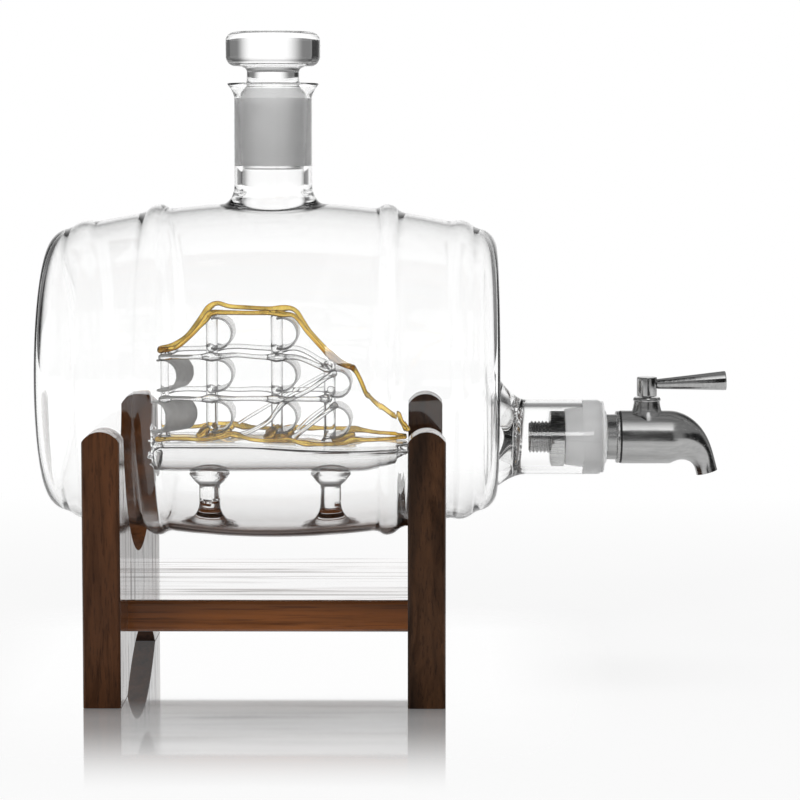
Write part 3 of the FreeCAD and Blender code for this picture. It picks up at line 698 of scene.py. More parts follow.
def glass_post(maker, sprout, ring, angles):
    """A post from its trumpet foot up to a swollen top just under the hull."""
    center = barrel_x + sprout.x
    foot = axis_z - belly_radius + barrel_wall + pool_depth + post_foot_height + post_foot_gap
    keel = keel_z(sprout.x, 0)
    waist = keel - post_flare_height - post_head
    profile = [(height, post_radius) for height in spread(foot, waist, 1.2)]
    for share in shares(7)[1:]:
        flared = (post_flare_radius - post_radius) * math.sin(share * math.pi / 2) ** post_flare_power
        radius = post_radius + flared + post_swell * math.sin(share * FULL_TURN)
        profile.append((waist + post_flare_height * share, radius))
    ring = tube_rings(maker, ring, angles, center, profile)
    loops = []
    for share in (0.98, 0.85, 0.6, 0.3):
        loop = []
        for angle in angles:
            x = post_flare_radius * share * math.cos(angle)
            y = post_flare_radius * share * math.sin(angle)
            loop.append((center + x, y, keel_z(sprout.x + x, y) - post_gap))
        loops.append(loop)
    maker.cap(maker.carry(ring, loops), (center, 0, keel - post_gap))


def glass_body(clear, ground):
    """Barrel, neck, outlet and the ship's posts as one blown and fused piece."""
    maker = Maker()
    inner_glass(maker, *outer_glass(maker))
    return maker.build("glass_body", "clear_glass", [clear, ground], [
        "barrel_shell", "far_head", "tap_head", "filler_neck", "outlet_tube", "ship_posts"])


# Turned forms and the stopper

stopper_head_radius = 15.8
stopper_shank_radius = 8.7
stopper_lift = 5.5
stopper_edge = 3.4
stopper_top_edge = 3.3
ground_gap = 0.15


def lathe(center, along, out, profile, count, finish=None):
    """A turned closed form from (place, radius) steps; finish gives a material number for each step."""
    maker = Maker()
    side = along.cross(out)
    finish = finish or [0] * len(profile)
    spokes = [
        out * math.cos(FULL_TURN * i / count) + side * math.sin(FULL_TURN * i / count) for i in range(count)]
    rings = []
    for place, radius in profile:
        rings.append(maker.ring([center + along * place + spoke * radius for spoke in spokes]))
    for one, two, number in zip(rings, rings[1:], finish):
        maker.bridge(one, two, number)
    for end in (0, -1):
        maker.cap(rings[end], center + along * profile[end][0], finish[end])
    return maker


def eased(profile, radius, steps=4):
    """Rounds every inner corner of a (place, radius) outline by a small arc."""
    points = [Vector(corner) for corner in profile]
    path = [tuple(points[0])]
    for before, corner, after in zip(points, points[1:], points[2:]):
        back = before - corner
        ahead = after - corner
        run = min(radius, 0.45 * back.length, 0.45 * ahead.length)
        start = corner + back.normalized() * run
        end = corner + ahead.normalized() * run
        for share in shares(steps):
            place = start * (1 - share) ** 2 + corner * 2 * share * (1 - share) + end * share ** 2
            path.append(tuple(place))
    path.append(tuple(points[-1]))
    return path


def stopper(clear, ground):
    """Solid stopper: pressed head with round edges, shank and the ground plug."""
    low, high = span("stopper")
    plug = bore_radius - ground_gap
    shank = stopper_shank_radius
    floor = rim_z + stopper_lift
    head_low = floor + 0.05
    outline = [
        (low.z, 8.0), (low.z, plug), (low.z + 1.6, plug + 0.05), (joint_top, joint_top_radius - ground_gap),
        (joint_top + 1.4, joint_top_radius - 0.5), (rim_z - 1.2, shank + 0.5), (rim_z + 1.2, shank),
        (floor - 1.7, shank), (floor - 0.7, shank + 0.35), (floor - 0.15, shank + 1.5),
        (head_low, stopper_head_radius - 3.6)]
    bends = [math.pi / 2 * share for share in shares(12)]
    head = outline[-1:]
    head += [
        (head_low + 3.5 * (1 - math.cos(bend)), stopper_head_radius - stopper_edge + 3.36 * math.sin(bend))
        for bend in bends[1:]]
    head += [
        (high.z - 3.1 + 3.02 * math.sin(bend), stopper_head_radius - stopper_top_edge + 3.28 * math.cos(bend))
        for bend in bends]
    head += [(high.z - 0.1, 11.4), (high.z - 0.5, 9.4), (high.z - 0.62, 7.0), (high.z - 0.62, 0.02)]
    outline = eased(outline, 1.3, 6)[:-1] + head
    finish = []
    for one, two in zip(outline, outline[1:]):
        finish.append(1 if low.z + 1.3 < (one[0] + two[0]) / 2 < joint_top else 0)
    maker = lathe(Vector((barrel_x, 0, 0)), Z_AXIS, X_AXIS, outline, 144, finish)
    return maker.build("stopper_glass", "clear_glass", [clear, ground], ["stopper"], "stopper")


# Ship

sail_width = 16.0
sail_height = 10.4
bow_sail_height = 8.0
bow_sail_drop = 1.6
sail_bulge = 7.6
sail_thickness = 0.75
sail_pitch = 14.0
sail_lift = 2.3
sail_steps = 22
sail_soft_edge = 0.05
sail_edge_share = 0.35
sail_uneven = 0.066
sail_end_uneven = 0.35
rig_half_width = 7.5
rail_inset = 1.4
yard_radius = 0.98
shroud_radius = 0.7
shroud_half_width = rig_half_width + 1.7
gold_radius = 0.95
rod_swell = 0.12
mast_swell = 0.045
knot_radius = 1.9
knot_top = 5.2


def wobble(seed, place, scale=0.12):
    """A smooth small irregularity along a hand-drawn rod or edge."""
    return noise.noise(Vector((seed * 7.31, place * scale, seed * 1.7)))


def smooth_path(corners, per_span):
    """A Catmull-Rom curve through the corners."""
    points = [Vector(corner) for corner in corners]
    full = [points[0] * 2 - points[1]] + points + [points[-1] * 2 - points[-2]]
    path = []
    for a, b, c, d in zip(full, full[1:], full[2:], full[3:]):
        for t in shares(per_span)[:-1]:
            path.append(0.5 * (2 * b + (c - a) * t + (2 * a - 5 * b + 4 * c - d) * t * t
                               + (3 * b - a - 3 * c + d) * t ** 3))
    path.append(points[-1])
    return path


def round_end(ring, sign):
    """Shrinking rings that round off a rod beyond its first or last ring."""
    center, thick, up, side, ahead = ring
    ends = []
    for turn in (math.radians(angle) for angle in (25, 50, 75)):
        tip = center + ahead * sign * thick * math.sin(turn) * 0.8
        ends.append((tip, thick * math.cos(turn), up, side, ahead))
    return ends


def rod(maker, corners, radius, seed, beads=(), sway=0.12, count=14, per_span=10):
    """A hand-drawn glass rod: a smooth route of uneven thickness with beads where it is fused.

    A bead is its share of the way along, its extra radius and its half length."""
    path = smooth_path(corners, per_span)
    lengths = [0.0]
    for one, two in zip(path, path[1:]):
        lengths.append(lengths[-1] + (two - one).length)
    up = Z_AXIS
    rings = []
    for i, (point, place) in enumerate(zip(path, lengths)):
        ahead = (path[min(i + 1, len(path) - 1)] - path[max(i - 1, 0)]).normalized()
        up = up - ahead * up.dot(ahead)
        if up.length < 1e-4:
            up = Y_AXIS - ahead * ahead.y
        up.normalize()
        side = ahead.cross(up)
        thick = radius * (1 + rod_swell * wobble(seed, place))
        for at, extra, width in beads:
            thick += extra * math.exp(-((place - at * lengths[-1]) / width) ** 2)
        center = point + side * sway * wobble(seed + 3, place) + up * sway * wobble(seed + 5, place)
        rings.append((center, thick, up, side, ahead))
    rings = round_end(rings[0], -1)[::-1] + rings + round_end(rings[-1], 1)
    made = []
    for center, thick, up, side, ahead in rings:
        turns = [FULL_TURN * k / count for k in range(count)]
        made.append(maker.ring([
            center + (up * math.cos(turn) + side * math.sin(turn)) * thick for turn in turns]))
    maker.bridges(made)
    for end in (0, -1):
        maker.cap(made[end], rings[end][0])


def mast(name, glass, seed):
    """A clear mast with a flared foot fused to the deck and a rounded head."""
    low, high = span(name)
    center_x = (low.x + high.x) / 2
    radius = (high.x - low.x) / 2
    floor = deck_at(center_x - barrel_x)
    height = high.z - floor
    profile = [(0.06, radius * 1.5), (0.5, radius * 1.35), (1.3, radius * 1.08)]
    for place in spread(2.4, height - 1.0, 1.6):
        profile.append((place, radius * (1 + mast_swell * wobble(seed, place, 0.2))))
    profile += [(height - 0.45, radius * 0.86), (height - 0.12, radius * 0.5)]
    maker = lathe(Vector((center_x, 0, floor)), Z_AXIS, X_AXIS, profile, 40)
    return maker.build(name + "_glass", "clear_glass", [glass], [name])


def sail_band(maker, x, floor, height, yaw, seed):
    """One half-round frosted band that bellies forward from its mast, with soft edges and uneven ends."""
    arc_radius = ((height / 2) ** 2 + sail_bulge ** 2) / (2 * sail_bulge)
    center_x = sail_bulge - arc_radius
    reach = math.acos(-center_x / arc_radius) * 0.985
    across = [-1, -0.985, -0.95] + [place / 8 for place in range(-7, 8)] + [0.95, 0.985, 1]
    turn = Vector((math.cos(yaw), math.sin(yaw), 0))
    along = Vector((-math.sin(yaw), math.cos(yaw), 0))
    sections = []
    for share in across:
        edge = min(1.0, (1 - abs(share)) / sail_soft_edge)
        thick = sail_thickness * (sail_edge_share + (1 - sail_edge_share) * math.sqrt(edge)) * 0.94
        outer = []
        inner = []
        for angle in spread(-reach, reach, 2 * reach / sail_steps):
            far = arc_radius - 0.03 + sail_uneven * wobble(seed, angle * 9 + share * 4, 0.6)
            uneven = sail_end_uneven * wobble(seed + 2, angle * 5, 0.5) * (1 - edge)
            base = Vector((x, 0, floor + height / 2)) + along * share * (sail_width / 2 - 0.1 + uneven)
            for face, radius in ((outer, far), (inner, far - thick)):
                ahead = center_x + radius * math.cos(angle)
                face.append(base + turn * ahead + Z_AXIS * radius * math.sin(angle))
        sections.append(maker.ring(outer + inner[::-1]))
    maker.bridges(sections)
    for section in (sections[0], sections[-1]):
        for step in range(sail_steps):
            maker.face([section[step], section[step + 1], section[-2 - step], section[-1 - step]])


def sails(mast_name, drop, heights, yaws, frosted, seed):
    """The bands on one mast, one over the other."""
    name = mast_name.replace("mast", "sails")
    maker = Maker()
    for level, (height, yaw) in enumerate(zip(heights, yaws)):
        floor = deck_z + sail_lift - drop + level * sail_pitch
        sail_band(maker, middle(mast_name).x, floor, height, math.radians(yaw), seed + level)
    return maker.build(name + "_glass", "frosted_glass", [frosted], [name])


def hull(glass):
    """Clear hull blown as a thin trough with a flat deck, open at the stern and drawn in at the bow."""
    maker = Maker()
    count = 56
    start = hull_stern + hull_setback

    def section(x, inset):
        ends = min(1.0, 0.86 + (x - start) / 16.0, 0.75 + (hull_bow - x) / 8.0)
        half = (half_beam(x) - hull_gap) * ends
        top = deck_at(x) - deck_gap
        lid = deck_wave * (1 + wobble(2, x, 0.16)) + deck_wall * inset / hull_wall
        floor = keel_wave * (2 + wobble(4, x, 0.11)) + (1 - ends) * hull_end_rise
        loop = []
        for k in range(count):
            rise = math.sin(FULL_TURN * k / count)
            y = half * math.cos(FULL_TURN * k / count)
            if rise >= 0:
                z = top - deck_edge * (1 - rise) ** 4 - lid
            else:
                z = min(keel_z(x, y) + floor, top - gunwale - 2.0 * min(1.0, -rise * 2.2))
                z += inset * (1 - 2 * max(0.0, 1 + rise * 4))
            loop.append((barrel_x + x, y * (1 - inset / half), z))
        return maker.ring(loop)

    outer = [section(x, 0.0) for x in spread(start, hull_bow - 0.1, 1.3)]
    inner = [section(x, hull_wall) for x in spread(start, hull_bow - 7.0, 1.3)]
    maker.bridges(outer)
    maker.bridges(inner)
    maker.bridge(outer[0], inner[0])
    for loop in (outer[-1], inner[-1]):
        maker.cap(loop, sum((maker.points[k] for k in loop), Vector()) / len(loop))
    return maker.build("hull_glass", "clear_glass", [glass], ["ship_hull"])


def stern_knots(clear):
    """The stack of melted knots that closes the stern, twice as wide as it is thick."""
    low = keel_z(hull_stern + 6, 0) - deck_z + 1.2
    profile = []
    for place in spread(low, knot_top, 0.4):
        share = (place - low) / (knot_top - low)
        knot = 0.5 * math.cos(share * FULL_TURN * 3.5) + 0.22 * math.cos(share * FULL_TURN * 8 + 1)
        taper = min(1.0, share * 12 + 0.2, (1 - share) * 6 + 0.15)
        profile.append((place, (knot_radius - 0.5 * share + knot * (1 - 0.4 * share)) * taper))
    maker = lathe(Vector((barrel_x + hull_stern + 0.2, 0, deck_z)), Z_AXIS, X_AXIS, profile, 36)
    for point in maker.points:
        point.y *= 2.0
    return maker.build("stern_knots", "clear_glass", [clear])


def yard_rods(glass):
    """Clear rods that tie the sails together: in front over a row of sails, behind under the next."""
    maker = Maker()
    stern, main, fore, bow = (middle(name + "_mast").x for name in ("stern", "main", "fore", "bow"))
    bow_head = deck_z + sail_lift + sail_pitch - bow_sail_drop + bow_sail_height + yard_radius
    beads = [(0.02, 0.5, 1.6), (0.29, 0.75, 2.4), (0.68, 0.8, 2.4), (0.985, 0.6, 1.8)]
    for level in (1, 2):
        foot = deck_z + sail_lift + level * sail_pitch - yard_radius
        head = foot - sail_pitch + sail_height + 2 * yard_radius
        for side, z in ((-1, head), (1, foot)):
            y = side * rig_half_width
            crossed = side > 0 and level > 1
            start_y = 0.8 if crossed else y
            end_z = min(z, bow_head)
            rod(maker, [
                (stern + (1.6 if crossed else -0.4), start_y, z - 0.2), (stern + 5, (start_y + y) / 2, z),
                (main - 3, y, z), (main + 2, y, z + 0.25), (main + 8, y, z + 0.7 * (level - 1)),
                (fore - 6, y, z + 0.1), (fore, y, z - 0.15), (fore + sail_bulge - 0.6, y, z - 0.1),
                (bow - 4.0, y, (z + 2 * end_z) / 3), (bow, y * 0.9, end_z)],
                yard_radius * 0.86, level * 3 + side, beads, sway=0.25)
    return maker.build("yard_glass", "clear_glass", [glass], ["yard_rods"])


def ship_route(points, y, narrowing=1.0):
    """A route from (place along the barrel, height over the deck) pairs at one side, narrowing to its end."""
    return [
        (barrel_x + x, y * (1 + (narrowing - 1) * share), deck_z + height)
        for share, (x, height) in zip(shares(len(points) - 1), points)]


def shroud_rods(glass):
    """Slanting clear stays from the deck up to the bow mast's sails, bent in front and straight behind."""
    maker = Maker()
    y = shroud_half_width
    long_bent = [
        (-14.0, 1.4), (-10.0, 2.2), (-6.6, 3.4), (-1.5, 6.3), (1.4, 9.9), (4.0, 12.6), (12.2, 16.8),
        (17.0, 20.2), (20.4, 22.4)]
    long_straight = [(-12.4, 3.6), (2.0, 12.3), (18.6, 21.6)]
    short_front = [(7.0, 0.8), (12.0, 4.8), (20.8, 11.6)]
    short_rear = [(7.4, 1.6), (12.4, 6.0), (19.4, 11.2)]
    long_beads = [(0.0, 0.35, 1.5), (0.5, 0.3, 2.0), (1.0, 0.5, 1.6)]
    short_beads = [(0.0, 0.4, 1.5), (1.0, 0.45, 1.5)]
    rod(maker, ship_route(long_bent, -y, 0.85), shroud_radius * 1.12, 10, long_beads)
    rod(maker, ship_route(long_straight, y, 0.85), shroud_radius * 0.8, 12)
    rod(maker, ship_route(short_front, -y, 0.9), shroud_radius * 1.1, 14, short_beads)
    rod(maker, ship_route(short_rear, y, 0.9), shroud_radius * 0.85, 16)
    return maker.build("shroud_glass", "clear_glass", [glass], ["shroud_rods"])


def gold_rails(gold):
    """Gilded rails along both edges of the deck, with knots at the feet of the sails."""
    maker = Maker()
    front = [
        (-37.6, 1.1), (-30.0, 1.3), (-22.0, 1.1), (-16.5, 2.0), (-13.8, 2.9), (-10.5, 2.3), (-6.5, 1.1),
        (0.0, 0.7), (5.5, 0.9), (9.5, 0.1), (14.0, -0.4), (20.0, -0.4), (23.5, -0.1), (27.0, 1.0),
        (34.0, 0.9), (44.0, 0.8)]
    rear = [
        (-37.2, 1.2), (-27.0, 1.6), (-22.0, 2.6), (-15.0, 2.4), (-10.0, 1.5), (0.0, 1.0), (6.5, 1.4),
        (14.0, 1.0), (21.0, 1.0), (26.5, 0.7), (30.0, 0.2), (36.0, -0.3), (44.0, -0.3)]
    beads = [
        (0.0, 0.3, 2.0), (0.27, 0.35, 2.2), (0.31, 0.45, 1.8), (0.5, 0.35, 2.0), (0.58, 0.4, 2.2),
        (0.76, 0.45, 2.4)]
    knots = ((-23.4, 1.6, 3.4), (-17.6, 3.4, 2.8), (-0.8, 1.6, 3.0), (3.8, 2.8, 2.8), (23.6, 3.4, 2.8))
    for side, stops in ((-1, front), (1, rear)):
        route = [(barrel_x + x, side * (half_beam(x) - rail_inset), deck_z + height) for x, height in stops]
        rod(maker, route, gold_radius * 0.74, 21 + side, beads, sway=0.15)
    for x, reach, tall in knots:
        center = barrel_x + x
        top = deck_at(x)
        for side in (-1, 1):
            y = side * sail_width * 0.34
            route = [
                (center - reach, y, top + 1.0), (center, y, top + tall * 0.6),
                (center + reach * 0.9, y * 1.1, top + tall)]
            rod(maker, route, 1.0, 31 + side + x, [(0.5, 0.5, 1.6)], count=16)
    return maker.build("rail_gilding", "gilded_glass", [gold], ["gold_rails"])


def gold_stays(gold):
    """Paired gilded stays from the stern over the tall masts to the bow mast, where they run together."""
    maker = Maker()
    rear = [
        (-38.0, 29.6), (-33.2, 31.4), (-29.0, 34.3), (-24.8, 40.0), (-21.9, 43.5), (-19.2, 44.6),
        (-15.0, 43.5), (-6.6, 43.0), (0.6, 42.8), (4.9, 43.1), (7.4, 41.8), (9.4, 38.8), (12.2, 35.0),
        (18.8, 28.2), (22.0, 25.8), (26.6, 23.6)]
    front = [
        (-38.0, 29.4), (-32.6, 30.5), (-27.8, 34.2), (-22.9, 39.4), (-20.4, 42.3), (-15.0, 42.6),
        (-6.6, 42.4), (0.0, 42.4), (3.6, 41.9), (6.7, 41.6), (8.8, 39.8), (12.0, 35.2), (18.2, 28.0),
        (22.4, 25.0), (26.8, 23.2)]
    beads = [(0.0, 0.35, 2.0), (0.27, 0.4, 2.6), (0.58, 0.4, 2.4), (0.9, 0.5, 2.6)]
    together = 0.12
    for side, stops in ((-1, front), (1, rear)):
        route = []
        for x, height in stops:
            apart = min(1.0, max(together, (x + 38.0) / 15.0), max(together, (19.0 - x) / 11.0))
            route.append((barrel_x + x, side * rig_half_width * apart, deck_z + height))
        rod(maker, route, gold_radius * 0.84, 41 + side, beads, sway=0.15, per_span=8)
    return maker.build("stay_gilding", "gilded_glass", [gold], ["gold_stays"])


def gold_forestay(gold):
    """Single wavy gilded stay from the end of the stays down to the bow, with two small bumps."""
    maker = Maker()
    stops = [
        (26.4, 23.6), (27.8, 21.6), (29.2, 18.8), (31.0, 14.7), (33.0, 13.1), (37.7, 8.7), (40.0, 6.8),
        (42.0, 7.9), (43.4, 5.2), (44.9, 2.6)]
    beads = [(0.0, 0.3, 1.6), (0.36, 0.25, 0.9), (0.8, 0.25, 0.9), (1.0, 0.2, 1.2)]
    rod(maker, ship_route(stops, 0.0), gold_radius * 0.8, 51, beads, sway=0.1, per_span=8)
    return maker.build("forestay_gilding", "gilded_glass", [gold], ["gold_forestay"])


def ship(clear, gold):
    # Masts, yard rods and shroud rods get glass with painted shade at their slanting edges
    drawn = edge_shaded_glass("rod_glass_edge_shade", [(0.06, 0.993), (0.20, 0.90), (0.40, 0.60), (0.65, 0.32)])
    # The hull's glass has painted shade: darker at its slanting edges below the deck
    hull(edge_shaded_glass("keel_glass_edge_shade", [(0.40, 0.993), (0.60, 0.78), (0.72, 0.34), (0.84, 0.08)], deck_z - 3.0))
    stern_knots(clear)
    for seed, name in enumerate(("stern_mast", "main_mast", "fore_mast", "bow_mast"), 61):
        mast(name, drawn, seed)
    # A greyer, cloudier copy of the frosted glass for the stern's sails: its darker grey is painted shade
    stern_shade_frosted = frosted_glass("frosted_stern_painted_shade", (0.44, 0.43, 0.42), (0.80, 0.79, 0.78), 0.55, 0.42)
    pale = frosted_glass("frosted_sails", (0.90, 0.895, 0.89), (0.99, 0.985, 0.98), 0.94, 0.2)
    sails("stern_mast", 0.0, [sail_height] * 2, [-35, -15], stern_shade_frosted, 71)
    sails("main_mast", 0.0, [sail_height] * 3, [0, 1, 0], pale, 75)
    sails("fore_mast", 0.0, [sail_height] * 3, [-2, -2, 0], pale, 79)
    sails("bow_mast", bow_sail_drop, [sail_height, bow_sail_height], [-1, 0], pale, 83)
    yard_rods(drawn)
    shroud_rods(drawn)
    gold_rails(gold)
    gold_stays(gold)
    gold_forestay(gold)


# Tap

stem_radius = 5.4
stem_bore = 2.2
stem_bore_depth = 6.0
thread_pitch = 1.2
thread_depth = 0.6
shoulder_start = mouth_x + 1.7
nut_flats = 17.2
bonnet_height = 1.3
handle_rise = math.radians(3.0)
handle_height = 3.9
handle_length = 23.35


def inlet_stem(steel):
    """Threaded stem with its open bore, shoulder and ring, turned from one bar."""
    start = span("inlet_stem")[0].x
    face = shoulder_start
    maker = Maker()
    count = 64

    def ring(x, radius, thread=0.0):
        sizes = []
        for i in range(count):
            wave = 0.5 + 0.5 * math.cos(FULL_TURN * ((x - start) / thread_pitch - i / count))
            sizes.append(radius - thread * (1 - wave ** 0.7))
        return maker.ring(upright(x, outlet_z, sizes))

    bore_end = start + stem_bore_depth
    rings = [ring(bore_end, stem_bore), ring(start + 0.3, stem_bore), ring(start, stem_bore + 0.35)]
    rings += [ring(start, stem_radius - 0.9), ring(start + 0.3, stem_radius - 0.62)]
    for x in spread(start + 0.5, face - 0.4, thread_pitch / 10):
        rings.append(ring(x, stem_radius - 0.02, thread_depth))
    collar = eased([
        (face - 0.3, stem_radius - 0.3), (face + 0.02, stem_radius), (face + 0.02, 7.55), (face + 3.3, 7.6),
        (face + 3.32, 8.72), (face + 4.45, 8.72), (face + 4.47, 5.2)], 0.28, 3)
    rings += [ring(x, radius) for x, radius in collar]
    maker.bridges(rings)
    maker.cap(rings[0], (bore_end, 0, outlet_z))
    maker.cap(rings[-1], (collar[-1][0], 0, outlet_z))
    return maker.build("inlet_stem_metal", "steel", [steel], ["inlet_stem"])


def lock_nut(steel):
    """Hexagon nut with chamfered corners, a flat at the top."""
    low, high = span("lock_nut")
    maker = Maker()
    count = 72
    flat = nut_flats / 2
    corner = flat / math.cos(math.pi / 6)
    bore = stem_radius + 0.06

    def ring(x, limit):
        sizes = []
        for i in range(count):
            away = (FULL_TURN * i / count + math.pi / 6) % (math.pi / 3) - math.pi / 6
            sizes.append(min(flat / math.cos(away), limit))
        return maker.ring(upright(x, outlet_z, sizes))

    chamfer = [(0.4, bore), (0.02, bore + 0.4), (0.02, flat + 0.1), (0.18, flat + 0.6), (0.4, corner)]
    rings = [ring(low.x + inset, limit) for inset, limit in chamfer]
    rings += [ring(high.x - inset, limit) for inset, limit in reversed(chamfer)]
    maker.close(rings)
    return maker.build("lock_nut_metal", "steel", [steel], ["lock_nut"])


def outlet_bung(silicone):
    """Soft translucent bung pressed into the tube, with a lip over its mouth and a cap."""
    low, high = span("outlet_bung")
    seat = outlet_bore + 0.1
    bore = stem_radius + 0.08
    outline = [
        (low.x + 0.5, bore), (low.x + 0.02, bore + 0.3), (low.x + 0.02, 9.3), (mouth_x - 5.8, seat),
        (mouth_x - 0.4, seat), (mouth_x + 0.05, outlet_bore + 0.5), (mouth_x + 0.06, outlet_radius - 0.5),
        (mouth_x + 0.75, outlet_radius - 0.5), (mouth_x + 0.8, 9.3), (high.x - 0.02, 8.7),
        (high.x - 0.02, bore + 0.2), (high.x - 0.5, bore)]
    maker = Maker()
    rings = [maker.ring(upright(x, outlet_z, radius, 96)) for x, radius in eased(outline, 0.45)]
    maker.close(rings)
    return maker.build("bung_silicone", "silicone", [silicone], ["outlet_bung"])


def lever(steel):
    """Turning hub with a rounded cap, and the slim handle that widens to its end."""
    low, high = span("lever_hub")
    radius = (high.y - low.y) / 2
    tall = high.z - low.z - 0.02
    foot = Vector((valve_x, 0, low.z))
    outline = [(0.0, 1.7), (0.0, radius - 0.05), (tall, radius - 0.02), (tall, 0.05)]
    hub = lathe(foot, Z_AXIS, X_AXIS, eased(outline, 0.4, 5), 64)
    along = Vector((math.cos(handle_rise), 0, math.sin(handle_rise)))
    root = foot + Z_AXIS * handle_height + along * (radius - 0.25)
    end = handle_length
    outline = [
        (0.0, 0.05), (0.0, 1.55), (0.8, 1.72), (end * 0.5, 2.45), (end - 0.02, 3.26), (end - 0.02, 2.2),
        (end - 0.22, 1.6), (end - 0.22, 0.05)]
    handle = lathe(root, along, along.cross(Y_AXIS), eased(outline, 0.35), 64)
    return [
        hub.build("lever_hub_metal", "steel", [steel], ["lever_hub"], "lever"),
        handle.build("lever_handle_metal", "steel", [steel], ["lever_handle"], "lever")]


def bonnet(steel):
    """Thin cap on the valve's chamber."""
    low, high = span("bonnet")
    radius = (high.y - low.y) / 2
    floor = high.z - bonnet_height
    top = high.z - 0.02
    outline = [
        (floor + 0.01, 1.8), (floor + 0.01, radius - 0.12), (floor + 0.5, radius - 0.02), (top, radius - 0.3),
        (top, 1.7)]
    maker = lathe(Vector((valve_x, 0, 0)), Z_AXIS, X_AXIS, eased(outline, 0.3), 64)
    return maker.build("bonnet_metal", "steel", [steel], ["bonnet"])


def brushed_steel(name, scale, rough):
    """Satin steel with fine brush lines along one direction and faint handling marks."""
    shader = Shader(name)
    lines = shader.noise(1.0, 5.0, 0.65, shader.stretched(scale))
    marks = shader.noise(45.0, 4.0, 0.6)
    tone = shader.ramp(lines, [(0.3, (0.42, 0.42, 0.42)), (0.7, (0.58, 0.58, 0.575))])
    brushed = shader.mapped(lines, 0.3, 0.7, rough - 0.07, rough + 0.09)
    level = shader.math("ADD", brushed, shader.mapped(marks, 0.4, 0.8, 0.0, 0.06))
    return shader.surface(shader.principled(
        Base_Color=tone, Metallic=1.0, Roughness=level, Anisotropic=0.35,
        Normal=shader.bump(lines, 0.18, 0.00006)))


def soft_silicone():
    """Milky translucent silicone with a dull skin and fine dust."""
    shader = Shader("milky_silicone")
    dust = shader.noise(1900.0, 2.0, 0.6)
    tone = shader.ramp(shader.noise(130.0, 3.0, 0.5), [(0.3, (0.93, 0.935, 0.935)), (0.7, 0.985)])
    return shader.surface(shader.principled(
        Base_Color=tone, Roughness=0.36, IOR=1.41, Transmission_Weight=0.1, Subsurface_Weight=0.8,
        Subsurface_Radius=(1.0, 1.0, 1.0), Subsurface_Scale=0.0018, Normal=shader.bump(dust, 0.2, 0.00003)))


def rubber():
    shader = Shader("black_rubber")
    grain = shader.noise(900.0, 3.0, 0.6)
    tone = shader.ramp(grain, [(0.3, 0.012), (0.7, 0.03)])
    return shader.surface(shader.principled(
        Base_Color=tone, Roughness=0.55, Normal=shader.bump(grain, 0.3, 0.00004)))


def cad_finish(node, material):
    """Gives a CAD node its material."""
    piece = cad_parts[node]
    piece.data.materials.clear()
    piece.data.materials.append(material)
    return piece


def tap():
    turned = brushed_steel("turned_steel", (90.0, 1500.0, 1500.0), 0.22)
    cast = brushed_steel("satin_steel", (120.0, 900.0, 900.0), 0.17)
    polished = brushed_steel("polished_steel", (1200.0, 1200.0, 60.0), 0.11)
    black = rubber()
    for node, material in (("valve_plug", polished), ("body_gasket", black), ("plug_seals", black)):
        cad_finish(node, material)
    in_tube = [outlet_bung(soft_silicone()), lock_nut(turned), inlet_stem(turned)]
    return in_tube, lever(polished) + [bonnet(polished), cad_finish("tap_body", cast)]


# Stand

def walnut(name, scale, turn, seed, tint, contrast, polish, underside, gleam):
    """Stained walnut under gloss lacquer: broad bands, fine pores along the grain, and a matt underside."""
    shader = Shader(name)
    vector = shader.stretched(scale, turn, (seed, seed * 0.7, seed * 1.3))
    bands = shader.noise(0.16, 3.0, 0.5, vector, 1.6)
    lines = shader.noise(0.75, 6.0, 0.62, vector, 0.9)
    pores = shader.noise(4.2, 3.0, 0.7, vector)
    levels = [(0.30, -0.75), (0.43, -0.25), (0.56, 0.3), (0.76, 1.1)]
    tone = shader.ramp(bands, [
        (place, tuple(part * (1 + level * contrast) for part in tint)) for place, level in levels])
    thin = shader.ramp(lines, [(0.32, (0.42, 0.40, 0.40)), (0.52, 0.95), (0.75, (1.25, 1.2, 1.15))])
    dark = shader.ramp(pores, [(0.36, (0.45, 0.42, 0.40)), (0.46, 1.0)])
    for share, shade in ((1.0, thin), (0.7, dark)):
        tone = shader.node("ShaderNodeMix", data_type="RGBA", blend_type="MULTIPLY", inputs={
            "Factor": share, "A": tone, "B": shade}).outputs["Result"]
    height = shader.math("ADD", shader.times(lines, 0.5), shader.times(pores, 0.5))
    wood = shader.principled(
        Base_Color=tone, Roughness=0.6, IOR=1.3, Specular_IOR_Level=0.2,
        Normal=shader.bump(height, 0.2, 0.00015))
    sheen = shader.node("ShaderNodeBsdfGlossy", {
        "Color": grey(1.0), "Roughness": 0.1, "Normal": shader.bump(height, 0.12, 0.00012)}).outputs[0]
    gloss = shader.math("ADD", shader.times(shader.math("POWER", shader.facing(), polish), gleam), 0.008)
    gloss = shader.times(gloss, shader.mapped(lines, 0.36, 0.5, 0.5, 1.0))
    upward = shader.parts(shader.node("ShaderNodeNewGeometry").outputs["Normal"])["Z"]
    gloss = shader.times(gloss, shader.mapped(upward, -0.5, -0.1, underside, 1.0))
    return shader.surface(shader.mix(gloss, wood, sheen))


def dowel_wood():
    """Plain pale wood of the hidden dowels."""
    shader = Shader("plain_dowel")
    grain = shader.noise(1.0, 4.0, 0.6, shader.stretched((30.0, 600.0, 600.0)))
    tone = shader.ramp(grain, [(0.3, (0.42, 0.26, 0.13)), (0.7, (0.60, 0.42, 0.24))])
    return shader.surface(shader.principled(Base_Color=tone, Roughness=0.6))


